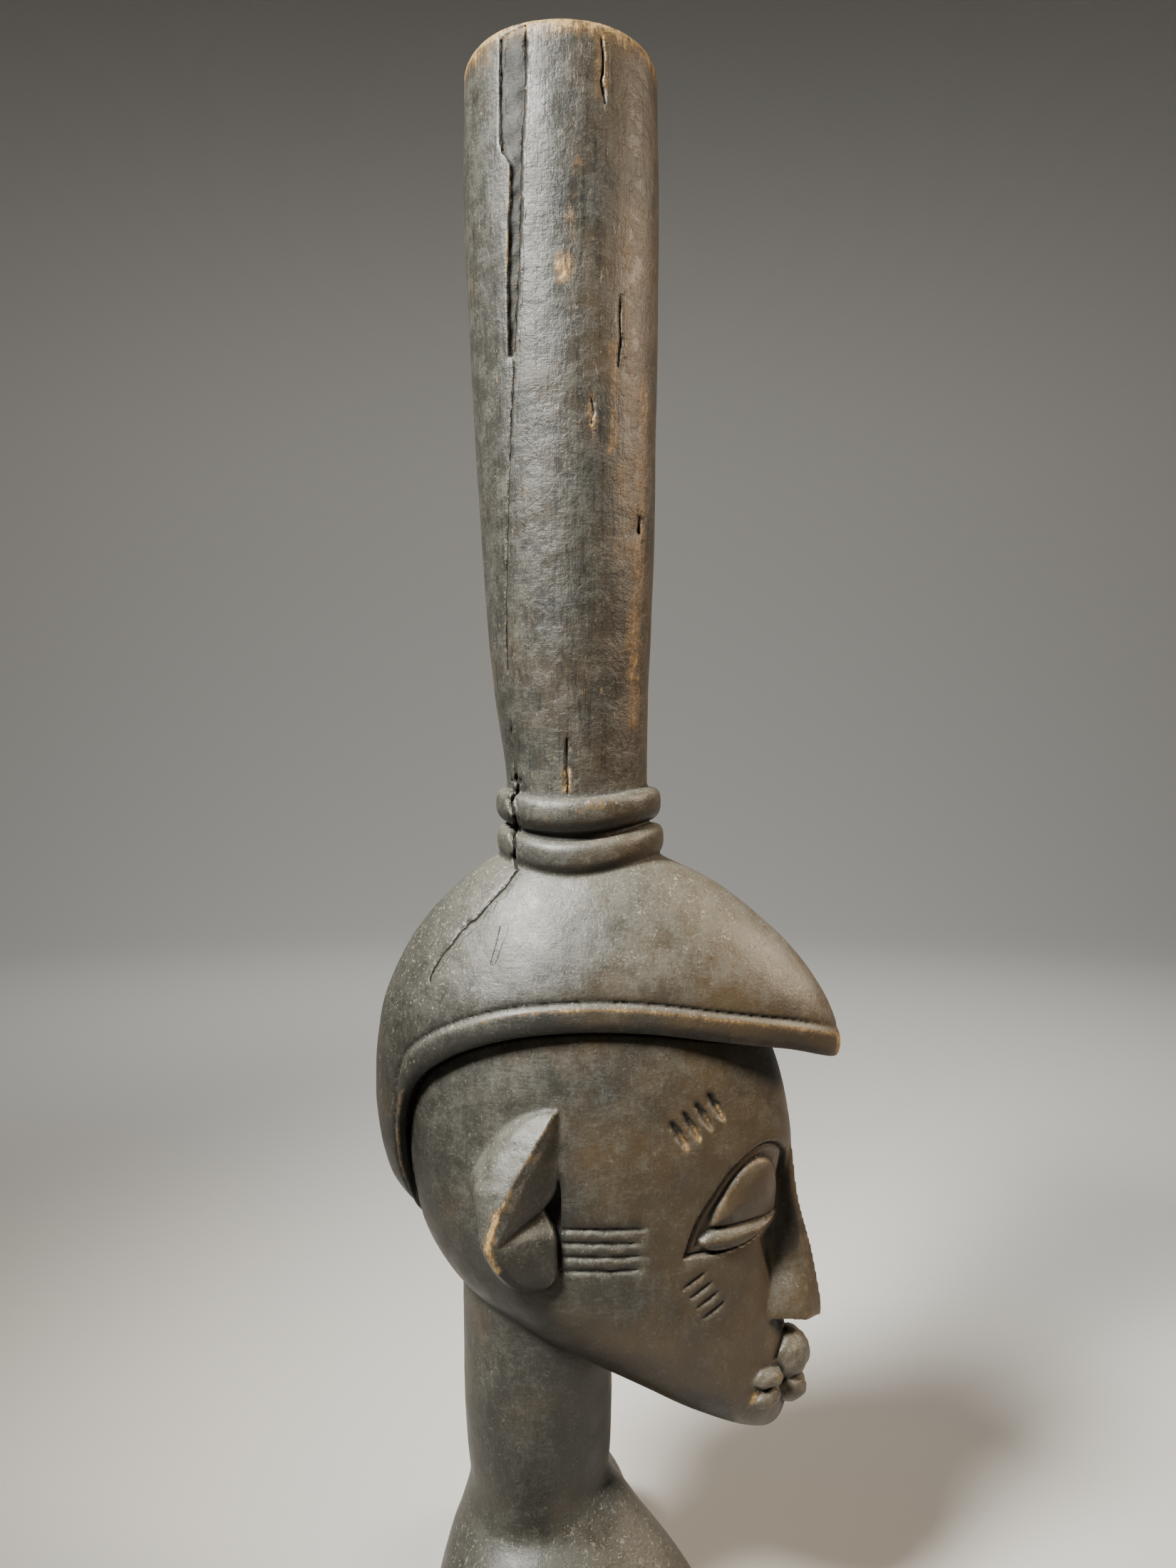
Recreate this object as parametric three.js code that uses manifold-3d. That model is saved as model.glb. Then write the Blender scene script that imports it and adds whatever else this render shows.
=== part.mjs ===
// Carved wooden bust of a West African helmeted figure with a tall shaft on its head, in millimetres.
// +Z is up and the face looks along -Y. The flat cut under the chest lies at Z = 0, and its centre is the origin.
// The whole bust is one block of wood: shaft, rings, cap, head, neck and chest are cut from it, so it is one solid.

import * as THREE from "three";
import { ConvexGeometry } from "three/addons/geometries/ConvexGeometry.js";
import { LoftGeometry } from "three/addons/geometries/LoftGeometry.js";
import { mergeVertices } from "three/addons/utils/BufferGeometryUtils.js";
import Module from "manifold-3d";

const wasm = await Module();
wasm.setup();

// Driving dimensions. All shapes below are laid out from the neck's axis, and the finished solid is moved at the end.
const NECK_AXIS_Y = 18.5; // the neck stands this far behind the centre of the underside
const TOTAL_HEIGHT = 627;

const SHAFT_FOOT = 318; // inside the cap, below the rings
const SHAFT_EDGE_ROUND = 5;
const SHAFT_SIDES = 36;

const RING_SIDES = 30;
const RING_HALF_HEIGHT = 6.6;
const RING_BULGE = 5.5;

const BAND_WIDTH = 9.4;
const BAND_NARROWING = 0.72; // share of its width that the band loses at the nape
const BAND_GROOVE_WIDTH = 1.8;
const BAND_GROOVE_DEPTH = 1.4;
const EDGE_POINTS = 16;

// A smooth curve through a few stations [at, value, value, ...], as a function that gives the values at any place.
function stations(rows) {
  const columns = rows[0].length - 1;
  const slope = (i, k) => {
    const before = rows[Math.max(i - 1, 0)];
    const after = rows[Math.min(i + 1, rows.length - 1)];
    return (after[k] - before[k]) / (after[0] - before[0]);
  };
  return (at) => {
    const place = Math.min(Math.max(at, rows[0][0]), rows[rows.length - 1][0]);
    let i = 0;
    while (i < rows.length - 2 && place > rows[i + 1][0]) i++;
    const step = rows[i + 1][0] - rows[i][0];
    const t = (place - rows[i][0]) / step;
    const values = [];
    for (let k = 1; k <= columns; k++) {
      const [a, b] = [rows[i][k], rows[i + 1][k]];
      const [da, db] = [slope(i, k) * step, slope(i + 1, k) * step];
      values.push(
        a + t * (da + t * (3 * (b - a) - 2 * da - db + t * (2 * (a - b) + da + db))),
      );
    }
    return values;
  };
}

// 0 below low, 1 above high, and a smooth step between.
function ease(value, low, high) {
  const t = Math.min(Math.max((value - low) / (high - low), 0), 1);
  return t * t * (3 - 2 * t);
}

// A closed three.js geometry as a solid that can be joined and cut.
function solid(geometry) {
  const bare = geometry.index ? geometry.toNonIndexed() : geometry;
  bare.deleteAttribute("normal");
  bare.deleteAttribute("uv");
  const merged = mergeVertices(bare, 1e-4);
  return new wasm.Manifold(
    new wasm.Mesh({
      numProp: 3,
      vertProperties: merged.attributes.position.array,
      triVerts: new Uint32Array(merged.index.array),
    }),
  );
}

function loft(sections) {
  return solid(new LoftGeometry(sections, { capStart: true, capEnd: true }));
}

function signedPower(value, power) {
  return Math.sign(value) * Math.abs(value) ** power;
}

// One level section of an egg: front and back reach, half width, and where along Y it is widest.
// A power of 2 is an ellipse, and less than 2 comes to a keel.
function eggSection(z, egg, sides) {
  const { front, back, half, widest, frontPower = 2, backPower = 2 } = egg;
  const points = [];
  for (let i = 0; i < sides; i++) {
    const angle = (i / sides) * 2 * Math.PI;
    const [c, s] = [Math.cos(angle), Math.sin(angle)];
    const power = 2 / (s < 0 ? frontPower : backPower);
    const reach = s < 0 ? widest - front : back - widest;
    points.push(
      new THREE.Vector3(
        half * signedPower(c, power),
        widest + reach * signedPower(s, power),
        z,
      ),
    );
  }
  return points;
}

// A round or faceted body of unit size, stretched to three half sizes along three given directions.
function placed(geometry, centre, along, up, sizes) {
  const x = new THREE.Vector3(...along).normalize();
  const z = new THREE.Vector3(...up);
  z.addScaledVector(x, -z.dot(x)).normalize();
  const y = new THREE.Vector3().crossVectors(z, x);
  const turn = new THREE.Matrix4().makeBasis(x, y, z);
  turn.scale(new THREE.Vector3(...sizes));
  turn.setPosition(...centre);
  return solid(geometry.applyMatrix4(turn));
}

function pebble(centre, along, up, sizes, detail) {
  const ball = new THREE.SphereGeometry(1, detail, detail / 2 + 1);
  return placed(ball, centre, along, up, sizes);
}

// A side view outline [y, z] run across the whole width.
function slab(outline, halfWidth) {
  const shape = new THREE.Shape(outline.map(([y, z]) => new THREE.Vector2(y, z)));
  const plate = new THREE.ExtrudeGeometry(shape, {
    depth: 2 * halfWidth,
    bevelEnabled: false,
  });
  const turn = new THREE.Matrix4().makeBasis(
    new THREE.Vector3(0, 1, 0),
    new THREE.Vector3(0, 0, 1),
    new THREE.Vector3(1, 0, 0),
  );
  turn.setPosition(-halfWidth, 0, 0);
  return solid(plate.applyMatrix4(turn));
}

function bothSides(piece) {
  return piece.add(piece.mirror([1, 0, 0]));
}

function levels(low, high, count) {
  return Array.from({ length: count + 1 }, (_, i) => low + ((high - low) * i) / count);
}

// The shaft: height, radius, and the place of its centre along Y. It leans back a little as it widens.
const shaftLine = stations([
  [SHAFT_FOOT, 27.5, -16.5],
  [348, 27.9, -15.7],
  [380, 30.3, -13.7],
  [404, 32.2, -13],
  [435, 33.9, -12.3],
  [486, 36, -11.1],
  [516, 37.1, -10.5],
  [577, 38.6, -9.4],
  [TOTAL_HEIGHT, 38.5, -9.3],
]);

function shaft() {
  const heights = levels(SHAFT_FOOT, TOTAL_HEIGHT - SHAFT_EDGE_ROUND, 7);
  const sections = heights.map((z) => {
    const [radius, centre] = shaftLine(z);
    return circle(z, radius, centre, SHAFT_SIDES);
  });
  for (const turn of [0.35, 0.7, 1]) {
    const angle = (turn * Math.PI) / 2;
    const z = TOTAL_HEIGHT - SHAFT_EDGE_ROUND * (1 - Math.sin(angle));
    const [radius, centre] = shaftLine(z);
    const inset = SHAFT_EDGE_ROUND * (1 - Math.cos(angle));
    sections.push(circle(z, radius - inset, centre, SHAFT_SIDES));
  }
  return loft(sections);
}

function circle(z, radius, centre, sides) {
  return eggSection(
    z,
    { front: centre - radius, back: centre + radius, half: radius, widest: centre },
    sides,
  );
}

// A ring round the foot of the shaft. It sits lower over the ears than over the face, as the cap's crown does.
function ring({ height, dip, reach, centre }) {
  const around = [];
  for (let i = 0; i < RING_SIDES; i++) {
    const angle = (i / RING_SIDES) * 2 * Math.PI;
    const [c, s] = [Math.cos(angle), Math.sin(angle)];
    const drop = dip * c * c;
    const tube = [];
    for (let k = 0; k < 8; k++) {
      const turn = (k / 8) * 2 * Math.PI;
      const out = reach - RING_BULGE + RING_BULGE * Math.cos(turn);
      tube.push(
        new THREE.Vector3(
          out * c,
          centre + out * s,
          height - drop - RING_HALF_HEIGHT * Math.sin(turn),
        ),
      );
    }
    around.push(tube);
  }
  around.push(around[0]);
  return solid(new LoftGeometry(around));
}

// The cap's outside: height, front, back, half width, widest line, and how keeled the front is.
const capLine = stations([
  [169, 24, 44, 8, 34, 2],
  [178, 12, 51.5, 19, 27, 2],
  [186, -4, 57, 28, 20, 2],
  [193, -22, 60.2, 34.5, 14, 2],
  [204, -50, 63, 42, 8, 2],
  [219, -88, 65, 48, 2, 1.9],
  [233, -115, 65.2, 51.2, -2, 1.75],
  [241, -118.6, 64.8, 52.2, -4, 1.65],
  [249, -118.2, 63.8, 52.2, -6, 1.65],
  [257, -115.8, 62.6, 51.4, -8, 1.68],
  [266, -111.4, 59.6, 49.8, -9, 1.72],
  [275, -105.2, 55.6, 47.2, -11, 1.78],
  [284, -97.8, 50.6, 44, -12, 1.83],
  [293, -88.2, 44, 40.2, -13, 1.9],
  [303, -75.8, 34.5, 35.4, -14, 1.95],
  [310, -64.5, 26.5, 31.2, -15, 2],
  [316, -51.5, 18, 26.5, -16, 2],
  [322, -40, 8, 20, -16, 2],
]);

// The cap's lower edge in side view, from the beak over the ear to the nape.
const capEdge = new THREE.SplineCurve(
  [
    [-122, 239],
    [-111, 243.4],
    [-100, 247],
    [-88, 249.4],
    [-72, 252.2],
    [-48.5, 255.8],
    [-24.8, 256.5],
    [-1.5, 254.1],
    [18.8, 248],
    [33, 240],
    [43.6, 226],
    [46, 216.5],
    [46.8, 207],
    [45.2, 188],
    [44, 166],
  ].map(([y, z]) => new THREE.Vector2(y, z)),
);

function capShell(inset) {
  return loft(
    levels(169, 322, 13).map((z) => {
      const [front, back, half, widest, frontPower] = capLine(z);
      return eggSection(
        z,
        {
          front: front + inset,
          back: back - inset,
          half: half - inset,
          widest,
          frontPower,
        },
        40,
      );
    }),
  );
}

// How far round to the nape a place is: 0 over the front of the cap's edge, and 1 behind the ears.
function nape(y, z) {
  return ease(y, 5, 42) * ease(255 - z, 5, 35);
}

// The cap's edge moved up and back by a share of the band's width there and a fixed distance, as [y, z] points.
function edgeAt(share, distance = 0) {
  return Array.from({ length: EDGE_POINTS + 1 }, (_, i) => {
    const at = capEdge.getPoint(i / EDGE_POINTS);
    const run = capEdge.getTangent(i / EDGE_POINTS);
    const width = BAND_WIDTH * (1 - BAND_NARROWING * nape(at.x, at.y));
    const away = share * width + distance;
    return [at.x - run.y * away, at.y + run.x * away];
  });
}

function cap() {
  const below = [...edgeAt(0), [44, 150], [-140, 150], [-140, 240]];
  const strip = [
    ...edgeAt(1),
    ...edgeAt(1, BAND_GROOVE_WIDTH).reverse(),
  ];
  return capShell(0)
    .subtract(slab(strip, 80))
    .add(capShell(BAND_GROOVE_DEPTH))
    .subtract(slab(below, 80));
}

// The head under the cap: height, front of the face without the nose, back, half width, widest line, keel.
const headLine = stations([
  [98.5, -91, -86, 4, -88.5, 2],
  [100.5, -94, -81, 9, -86.5, 2],
  [103.5, -96, -71, 14.5, -82, 2],
  [108, -97.2, -60, 20, -76, 2],
  [114, -97.2, -47, 25.5, -67, 2],
  [121, -96.6, -33, 30.3, -57, 1.95],
  [129, -96.2, -14, 34.6, -45, 1.9],
  [137, -95.6, 3.5, 38.5, -34, 1.88],
  [145, -94.8, 18.5, 41.6, -25, 1.85],
  [154, -93.8, 31, 44.4, -17, 1.82],
  [165, -93, 40, 46.2, -11, 1.8],
  [175, -93, 45.3, 47, -9, 1.8],
  [187, -94.5, 49.5, 47.4, -8, 1.8],
  [199, -97.6, 53.2, 47.4, -8, 1.82],
  [210, -99.3, 54.8, 47.1, -8, 1.86],
  [221, -98.2, 56.4, 46.6, -8, 1.9],
  [233, -95.8, 56.6, 46, -9, 1.92],
  [243, -92.6, 54.4, 45, -10, 1.95],
  [258, -86, 52, 43, -10, 2],
  [275, -72, 42, 36, -12, 2],
  [295, -45, 22, 22, -14, 2],
]);

function head() {
  const heights = [98.5, 100.5, 103.5, 108, ...levels(114, 270, 13)];
  return loft(
    heights.map((z) => {
      const [front, back, half, widest, frontPower] = headLine(z);
      return eggSection(z, { front, back, half, widest, frontPower }, 40);
    }),
  );
}

// The nose: a long wedge whose ridge runs straight on from the forehead. Height, ridge, half width at the foot.
const noseLine = stations([
  [142.6, -110.4, 12],
  [144.5, -111, 12],
  [149, -110.6, 11],
  [154, -109.6, 8.8],
  [160, -108.4, 5.6],
  [167, -107, 4.3],
  [183, -102.7, 3.9],
  [192, -101.2, 3.9],
  [201, -100.3, 3.8],
  [212, -98.8, 3.6],
]);
const NOSE_TIP_DROP = 1.9; // the underside of the nose runs down towards its tip

function nose() {
  return loft(
    [142.6, 147, 156, 167, 183, 212].map((z) => {
      const [ridge, half] = noseLine(z);
      const foot = -84;
      return [
        [half, foot],
        [half, foot - 8],
        [half * 0.66, ridge + 6.5],
        [Math.min(half * 0.55, 3), ridge + 2],
        [0, ridge],
        [-Math.min(half * 0.55, 3), ridge + 2],
        [-half * 0.66, ridge + 6.5],
        [-half, foot - 8],
        [-half, foot],
      ]
        .reverse()
        .map(([x, y]) => {
          const drop = NOSE_TIP_DROP * ease(-y, 96, 110) * (1 - ease(z, 143, 160));
          return new THREE.Vector3(x, y, z - drop);
        });
    }),
  );
}

// The right eye, on the flank of the face. Its own directions: along the eye towards the nose, and up.
const EYE = { centre: [-25.5, -79.5, 190], along: [0.632, -0.775] };

function eyePebble({ along, up, out, lean, sizes }, detail) {
  const [ax, ay] = EYE.along;
  const [c, s] = [Math.cos(lean), Math.sin(lean)];
  const [x, y, z] = EYE.centre;
  return pebble(
    [x + ax * along + ay * out, y + ay * along - ax * out, z + up],
    [ax * c, ay * c, s],
    [-ax * s, -ay * s, c],
    sizes,
    detail,
  );
}

const socket = { along: 3.4, up: 1.6, out: 1.2, lean: 0.74, sizes: [28, 6.2, 13] };
const upperLid = { along: 2.6, up: 4.6, out: -4.6, lean: 0.66, sizes: [17, 6, 9.2] };
const lowerLid = { along: -1, up: -10.4, out: -2.4, lean: 0.3, sizes: [17, 5, 4.4] };

// How far the head's right side stands out at a place in side view.
function flank(y, z) {
  const [front, back, half, widest, frontPower] = headLine(z);
  const reach = y < widest ? widest - front : back - widest;
  const power = y < widest ? frontPower : 2;
  const share = Math.min(1, Math.abs(y - widest) / reach);
  return -half * (1 - share ** power) ** (1 / power);
}

// A short chisel cut in the right side of the head, between two places in side view.
function chip([startY, startZ], [endY, endZ], width, depth) {
  const start = new THREE.Vector3(flank(startY, startZ), startY, startZ);
  const end = new THREE.Vector3(flank(endY, endZ), endY, endZ);
  const along = end.clone().sub(start);
  const middle = start.clone().add(end).multiplyScalar(0.5);
  middle.x = flank(middle.y, middle.z);
  const across = along.clone().cross(new THREE.Vector3(-1, -0.5, 0)).normalize();
  const sizes = [along.length() / 2, depth, width / 2];
  const tool = new THREE.OctahedronGeometry(1, 0);
  return placed(tool, middle.toArray(), along.toArray(), across.toArray(), sizes);
}

// The cut marks: four on the brow, four level ones before the ear, and four short ones under the eye.
const browMark = { from: [-69, 233], to: [-75.4, 221.8], step: [4.3, -3.1], count: 4 };
const earMark = { from: [-18.3, 185.4], to: [-46, 185.2], step: [0, -4.95], count: 4 };
const cheekMark = { from: [-59.7, 161.5], to: [-68.9, 167.4], step: [-2.3, -3.9], count: 4 };

function marks({ from, to, step, count }, width, depth) {
  return Array.from({ length: count }, (_, i) => {
    const moved = ([y, z]) => [y + step[0] * i, z + step[1] * i];
    return chip(moved(from), moved(to), width, depth);
  });
}

// The lips: three lobes in each, round the front of the mouth. Side lobes are mirrored.
const lipLobes = [
  { centre: [0, -96.8, 126.3], sizes: [10, 9.8, 9.8] },
  { centre: [-13.2, -89, 122.6], sizes: [7.8, 7.6, 4.2] },
  { centre: [0, -97.3, 113.8], sizes: [8.8, 8.3, 6.2] },
  { centre: [-12.8, -87.3, 115.4], sizes: [8.2, 8.2, 4.4] },
];

function lips() {
  const lobes = lipLobes.map(({ centre, sizes }) =>
    pebble(centre, [1, 0, 0], [0, 0, 1], sizes, 10),
  );
  return wasm.Manifold.union(
    lobes.map((lobe, i) => (lipLobes[i].centre[0] ? bothSides(lobe) : lobe)),
  );
}

// The right ear: height, how far its rim stands out, the rim along Y, and the back of its root along Y.
const earLine = stations([
  [163, 49.5, -6.5, 0],
  [166, 54, -2.5, 3],
  [170, 58, 0, 5.5],
  [175, 61.3, 2.2, 7.8],
  [182, 64, 4.9, 10.6],
  [188, 63.3, 3.7, 12.8],
  [193, 62.3, 2.1, 14.4],
  [200, 60.5, -0.8, 16.6],
  [207, 58.3, -4.4, 13.6],
  [213, 56, -7.8, 9.8],
  [218, 53.8, -10.6, 6.3],
  [222, 51.9, -12.9, 2.2],
  [225, 50.2, -14.3, -3],
  [227.4, 48.4, -15.4, -11],
]);
const EAR_FRONT = -16.5;
// The flat land beside the rim: height, and where along Y it ends towards the front.
const earLand = stations([
  [163, -7],
  [175, -1.5],
  [182, 2.6],
  [188, 0.3],
  [199, -4.2],
  [209, -9.2],
  [216, -13],
  [227.4, -16.2],
]);
const LAND_RISE = 1.3; // how far the land stands out from the straight line between root and rim

function ear() {
  const wedge = loft(
    [163, 166, 170, 175, 182, 188, 193, 200, 207, 213, 218, 222, 225, 227.4].map((z) => {
      const [out, rim, back] = earLine(z);
      const front = EAR_FRONT + 5.5 * ease(-z, -172, -162) ** 2;
      const root = new THREE.Vector2(46.6 + 3.2 * ease(-z, -189, -183) * ease(z, 162, 166), front);
      const run = new THREE.Vector2(out, rim).sub(root);
      const share = Math.min(Math.max((earLand(z)[0] - front) / (rim - front), 0.2), 0.85);
      const rise = (LAND_RISE * Math.min(1, run.length() / 20)) / run.length();
      const land = root.clone().addScaledVector(run, share);
      return [
        [36, front],
        [root.x, root.y],
        [land.x + run.y * rise, land.y - run.x * rise],
        [out, rim],
        [out - 0.8, rim + 0.25 * (back - rim)],
        [0.72 * out + 0.28 * 44, rim + 0.68 * (back - rim)],
        [44.5, back],
        [36, back],
      ]
        .reverse()
        .map(([x, y]) => new THREE.Vector3(-x, y, z));
    }),
  );
  return wedge.subtract(earGroove());
}

// The groove between the ear's two inner faces: a line at the tip of the rim that opens into a hole at the root.
function earGroove() {
  const corners = [
    [-66, 4, 184.8],
    [-66, 4, 183.8],
    [-46, -11, 192.6],
    [-47, -20, 199],
    [-47, -20, 185],
    [-62, -16.4, 199],
    [-62, -16.4, 185],
  ].map((corner) => new THREE.Vector3(...corner));
  return solid(new ConvexGeometry(corners));
}

function neck() {
  const line = stations([
    [20, 26.6, -0.4],
    [70, 27.1, -0.6],
    [85, 28.4, -0.4],
    [118, 29.4, 0],
    [160, 29.6, 0.3],
  ]);
  return loft(
    [20, 60, 85, 118, 160].map((z) => {
      const [radius, centre] = line(z);
      return circle(z, radius, centre, 32);
    }),
  );
}

// The chest between the shoulders, cut flat below: height, front, back, half width, widest line, keel.
const chestLine = stations([
  [0, -80, 43, 60, -6, 1.5],
  [15, -73.5, 41.5, 58, -5, 1.5],
  [31, -63.5, 38.7, 53, -4, 1.55],
  [42, -55.6, 36.3, 45, -3, 1.6],
  [51, -48.5, 33.8, 35, -2, 1.7],
  [58, -42.5, 31, 28.5, -1, 1.8],
  [65, -36.5, 28.6, 25.5, 0, 1.9],
  [73, -28.5, 26, 24, 0, 2],
]);

// The right shoulder, a rounded mass that tips down outward.
const SHOULDER = { centre: [-56, 1, 2], sizes: [38, 34, 50] };

function chest() {
  const trunk = loft(
    levels(0, 73, 8).map((z) => {
      const [front, back, half, widest, frontPower] = chestLine(z);
      return eggSection(z, { front, back, half, widest, frontPower }, 36);
    }),
  );
  const shoulder = pebble(SHOULDER.centre, [1, 0, 0.25], [0, 0, 1], SHOULDER.sizes, 18);
  return trunk.add(bothSides(shoulder)).trimByPlane([0, 0, 1], 0);
}

// The channel that an old drying crack has opened down the right side of the shaft: height, width, depth.
const channelLine = stations([
  [487, 0.4, 0.3],
  [505, 4.4, 1.5],
  [566, 5, 1.6],
  [578, 9, 1.8],
  [TOTAL_HEIGHT + 1, 10, 2.2],
]);
const CHANNEL_TURN = 2.86; // where it lies round the shaft, in radians from +X

function channel() {
  const outward = new THREE.Vector2(Math.cos(CHANNEL_TURN), Math.sin(CHANNEL_TURN));
  return loft(
    [487, 505, 535, 566, 578, 605, TOTAL_HEIGHT + 1].map((z) => {
      const [radius, centre] = shaftLine(z);
      const [width, depth] = channelLine(z);
      return [
        [radius - depth, width / 2],
        [radius + 3, width / 2 + 1],
        [radius + 3, -width / 2 - 1],
        [radius - depth, -width / 2],
      ]
        .reverse()
        .map(([out, side]) => {
          const x = outward.x * out - outward.y * side;
          const y = centre + outward.y * out + outward.x * side;
          return new THREE.Vector3(x, y, z);
        });
    }),
  );
}

const cuts = [
  eyePebble(socket, 12),
  ...marks(browMark, 3.6, 2.4),
  ...marks(earMark, 3.4, 2.2),
  ...marks(cheekMark, 2.6, 1.8),
];

const carvedHead = wasm.Manifold.union([cap(), head()])
  .subtract(bothSides(wasm.Manifold.union(cuts)))
  .add(bothSides(eyePebble(upperLid, 12)))
  .add(bothSides(eyePebble(lowerLid, 10)))
  .add(nose())
  .add(lips())
  .add(bothSides(ear()));

const figure = wasm.Manifold.union([
  carvedHead,
  shaft().subtract(channel()),
  ring({ height: 337.3, dip: 4.4, reach: 32.6, centre: -16.4 }),
  ring({ height: 323.2, dip: 6.4, reach: 32.9, centre: -17.2 }),
  neck(),
  chest(),
]);

function geometryOf(piece) {
  const { vertProperties, triVerts, numProp } = piece.getMesh();
  const positions = new Float32Array((vertProperties.length / numProp) * 3);
  for (let i = 0; i < positions.length / 3; i++)
    positions.set(vertProperties.subarray(i * numProp, i * numProp + 3), i * 3);
  const geometry = new THREE.BufferGeometry();
  geometry.setAttribute("position", new THREE.BufferAttribute(positions, 3));
  geometry.setIndex(new THREE.BufferAttribute(new Uint32Array(triVerts), 1));
  geometry.computeVertexNormals();
  return geometry;
}

const darkWood = new THREE.MeshStandardMaterial({
  name: "dark patinated hardwood",
  color: 0x3a322b,
  roughness: 0.55,
  metalness: 0,
});

const bust = new THREE.Mesh(geometryOf(figure), darkWood);
bust.name = "figure";
bust.position.y = NECK_AXIS_Y;

const object = new THREE.Group();
object.add(bust);

export default object;
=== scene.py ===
# Carved wooden bust of a helmeted figure with a tall ringed shaft on its head: the surface and the finish.
# Blender units are metres. The carving is worked out in millimetres from the neck's axis, and then moved
# to the frame, where the flat underside lies at Z = 0 and the face looks along -Y.

import math
from functools import reduce

import bpy
import numpy as np
import openvdb as vdb
from bpy.props import FloatProperty, IntProperty, PointerProperty
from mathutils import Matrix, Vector


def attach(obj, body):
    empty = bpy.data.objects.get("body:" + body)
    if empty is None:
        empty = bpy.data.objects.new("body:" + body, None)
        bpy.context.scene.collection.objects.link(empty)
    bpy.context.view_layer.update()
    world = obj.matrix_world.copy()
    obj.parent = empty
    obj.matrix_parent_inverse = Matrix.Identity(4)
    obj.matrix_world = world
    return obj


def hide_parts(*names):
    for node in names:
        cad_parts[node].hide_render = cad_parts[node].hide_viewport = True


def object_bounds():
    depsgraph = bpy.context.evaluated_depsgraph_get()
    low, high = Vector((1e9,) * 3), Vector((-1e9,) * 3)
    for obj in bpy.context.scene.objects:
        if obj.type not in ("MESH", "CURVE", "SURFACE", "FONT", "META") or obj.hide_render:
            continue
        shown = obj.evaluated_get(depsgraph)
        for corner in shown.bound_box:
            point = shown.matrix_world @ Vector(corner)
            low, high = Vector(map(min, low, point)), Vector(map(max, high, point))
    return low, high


bl_info = {
    "name": "Carved wooden bust",
    "version": (1, 0, 0),
    "blender": (4, 5, 0),
    "location": "3D View > Sidebar > Carving",
    "description": "Builds the surface and the finish of a carved hardwood bust around its packed solid",
    "category": "Object",
}

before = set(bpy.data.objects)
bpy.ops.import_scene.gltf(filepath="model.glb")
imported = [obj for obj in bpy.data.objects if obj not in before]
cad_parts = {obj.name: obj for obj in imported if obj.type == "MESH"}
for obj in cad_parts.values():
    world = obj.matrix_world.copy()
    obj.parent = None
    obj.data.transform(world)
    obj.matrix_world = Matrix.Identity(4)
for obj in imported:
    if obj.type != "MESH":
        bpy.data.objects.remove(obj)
cad_low, cad_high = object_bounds()

NODE = "figure"
TOTAL_HEIGHT = (cad_high.z - cad_low.z) * 1000
NECK_AXIS_Y = 18.5  # the neck stands this far behind the centre of the underside

VOXEL = 0.7  # edge of a cell of the carving's distance field, in mm
NEAR = 8  # cells on each side of a surface that know their distance


# Curves and sections


def stations(rows):
    """A smooth curve through rows of [at, value, value, ...], as a function that gives a row of values."""
    table = np.array(rows, dtype=float)
    at, values = table[:, 0], table[:, 1:]
    slopes = np.empty_like(values)
    for i in range(len(at)):
        before, after = max(i - 1, 0), min(i + 1, len(at) - 1)
        slopes[i] = (values[after] - values[before]) / (at[after] - at[before])

    def curve(where):
        where = np.clip(np.asarray(where, dtype=float), at[0], at[-1])
        i = np.clip(np.searchsorted(at, where, side="right") - 1, 0, len(at) - 2)
        step = at[i + 1] - at[i]
        t = (where - at[i]) / step
        found = []
        for k in range(values.shape[1]):
            a, b = values[i, k], values[i + 1, k]
            da, db = slopes[i, k] * step, slopes[i + 1, k] * step
            found.append(a + t * (da + t * (3 * (b - a) - 2 * da - db + t * (2 * (a - b) + da + db))))
        return found

    return curve


def smooth_path(points, count):
    """A Catmull-Rom curve through the points, as an array of count places."""
    points = np.array(points, dtype=float)
    padded = np.vstack([2 * points[0] - points[1], points, 2 * points[-1] - points[-2]])
    where = np.linspace(0, len(points) - 1, count)
    i = np.minimum(where.astype(int), len(points) - 2)
    t = (where - i)[:, None]
    p0, p1, p2, p3 = (padded[i + k] for k in range(4))
    return 0.5 * (
        2 * p1 + (p2 - p0) * t + (2 * p0 - 5 * p1 + 4 * p2 - p3) * t**2 + (3 * p1 - p0 - 3 * p2 + p3) * t**3
    )


def egg_section(z, front, back, half, widest, front_power, sides=144):
    """One level section of an egg: front and back reach, half width, and where along Y it is widest."""
    angle = np.linspace(0, 2 * math.pi, sides, endpoint=False)
    c, s = np.cos(angle), np.sin(angle)
    power = np.where(s < 0, 2 / front_power, 1.0)
    reach = np.where(s < 0, widest - front, back - widest)
    x = half * np.sign(c) * np.abs(c) ** power
    y = widest + reach * np.sign(s) * np.abs(s) ** power
    return np.stack([x, y, np.full(sides, float(z))], axis=1)


def loft(sections):
    """Closed surface through equal sections, with a fan over each end, as points and triangles."""
    count = len(sections[0])
    points = np.vstack([*sections, sections[0].mean(0), sections[-1].mean(0)])
    foot, top = len(points) - 2, len(points) - 1
    side = np.arange(count)
    ahead = (side + 1) % count
    triangles = []
    for level in range(len(sections) - 1):
        low, high = level * count, (level + 1) * count
        triangles.append(np.stack([low + side, low + ahead, high + ahead], axis=1))
        triangles.append(np.stack([low + side, high + ahead, high + side], axis=1))
    last = (len(sections) - 1) * count
    triangles.append(np.stack([ahead, side, np.full(count, foot)], axis=1))
    triangles.append(np.stack([last + side, last + ahead, np.full(count, top)], axis=1))
    return points.astype(np.float32), np.vstack(triangles).astype(np.uint32)


# Distance fields: negative inside the wood, in millimetres


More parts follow.
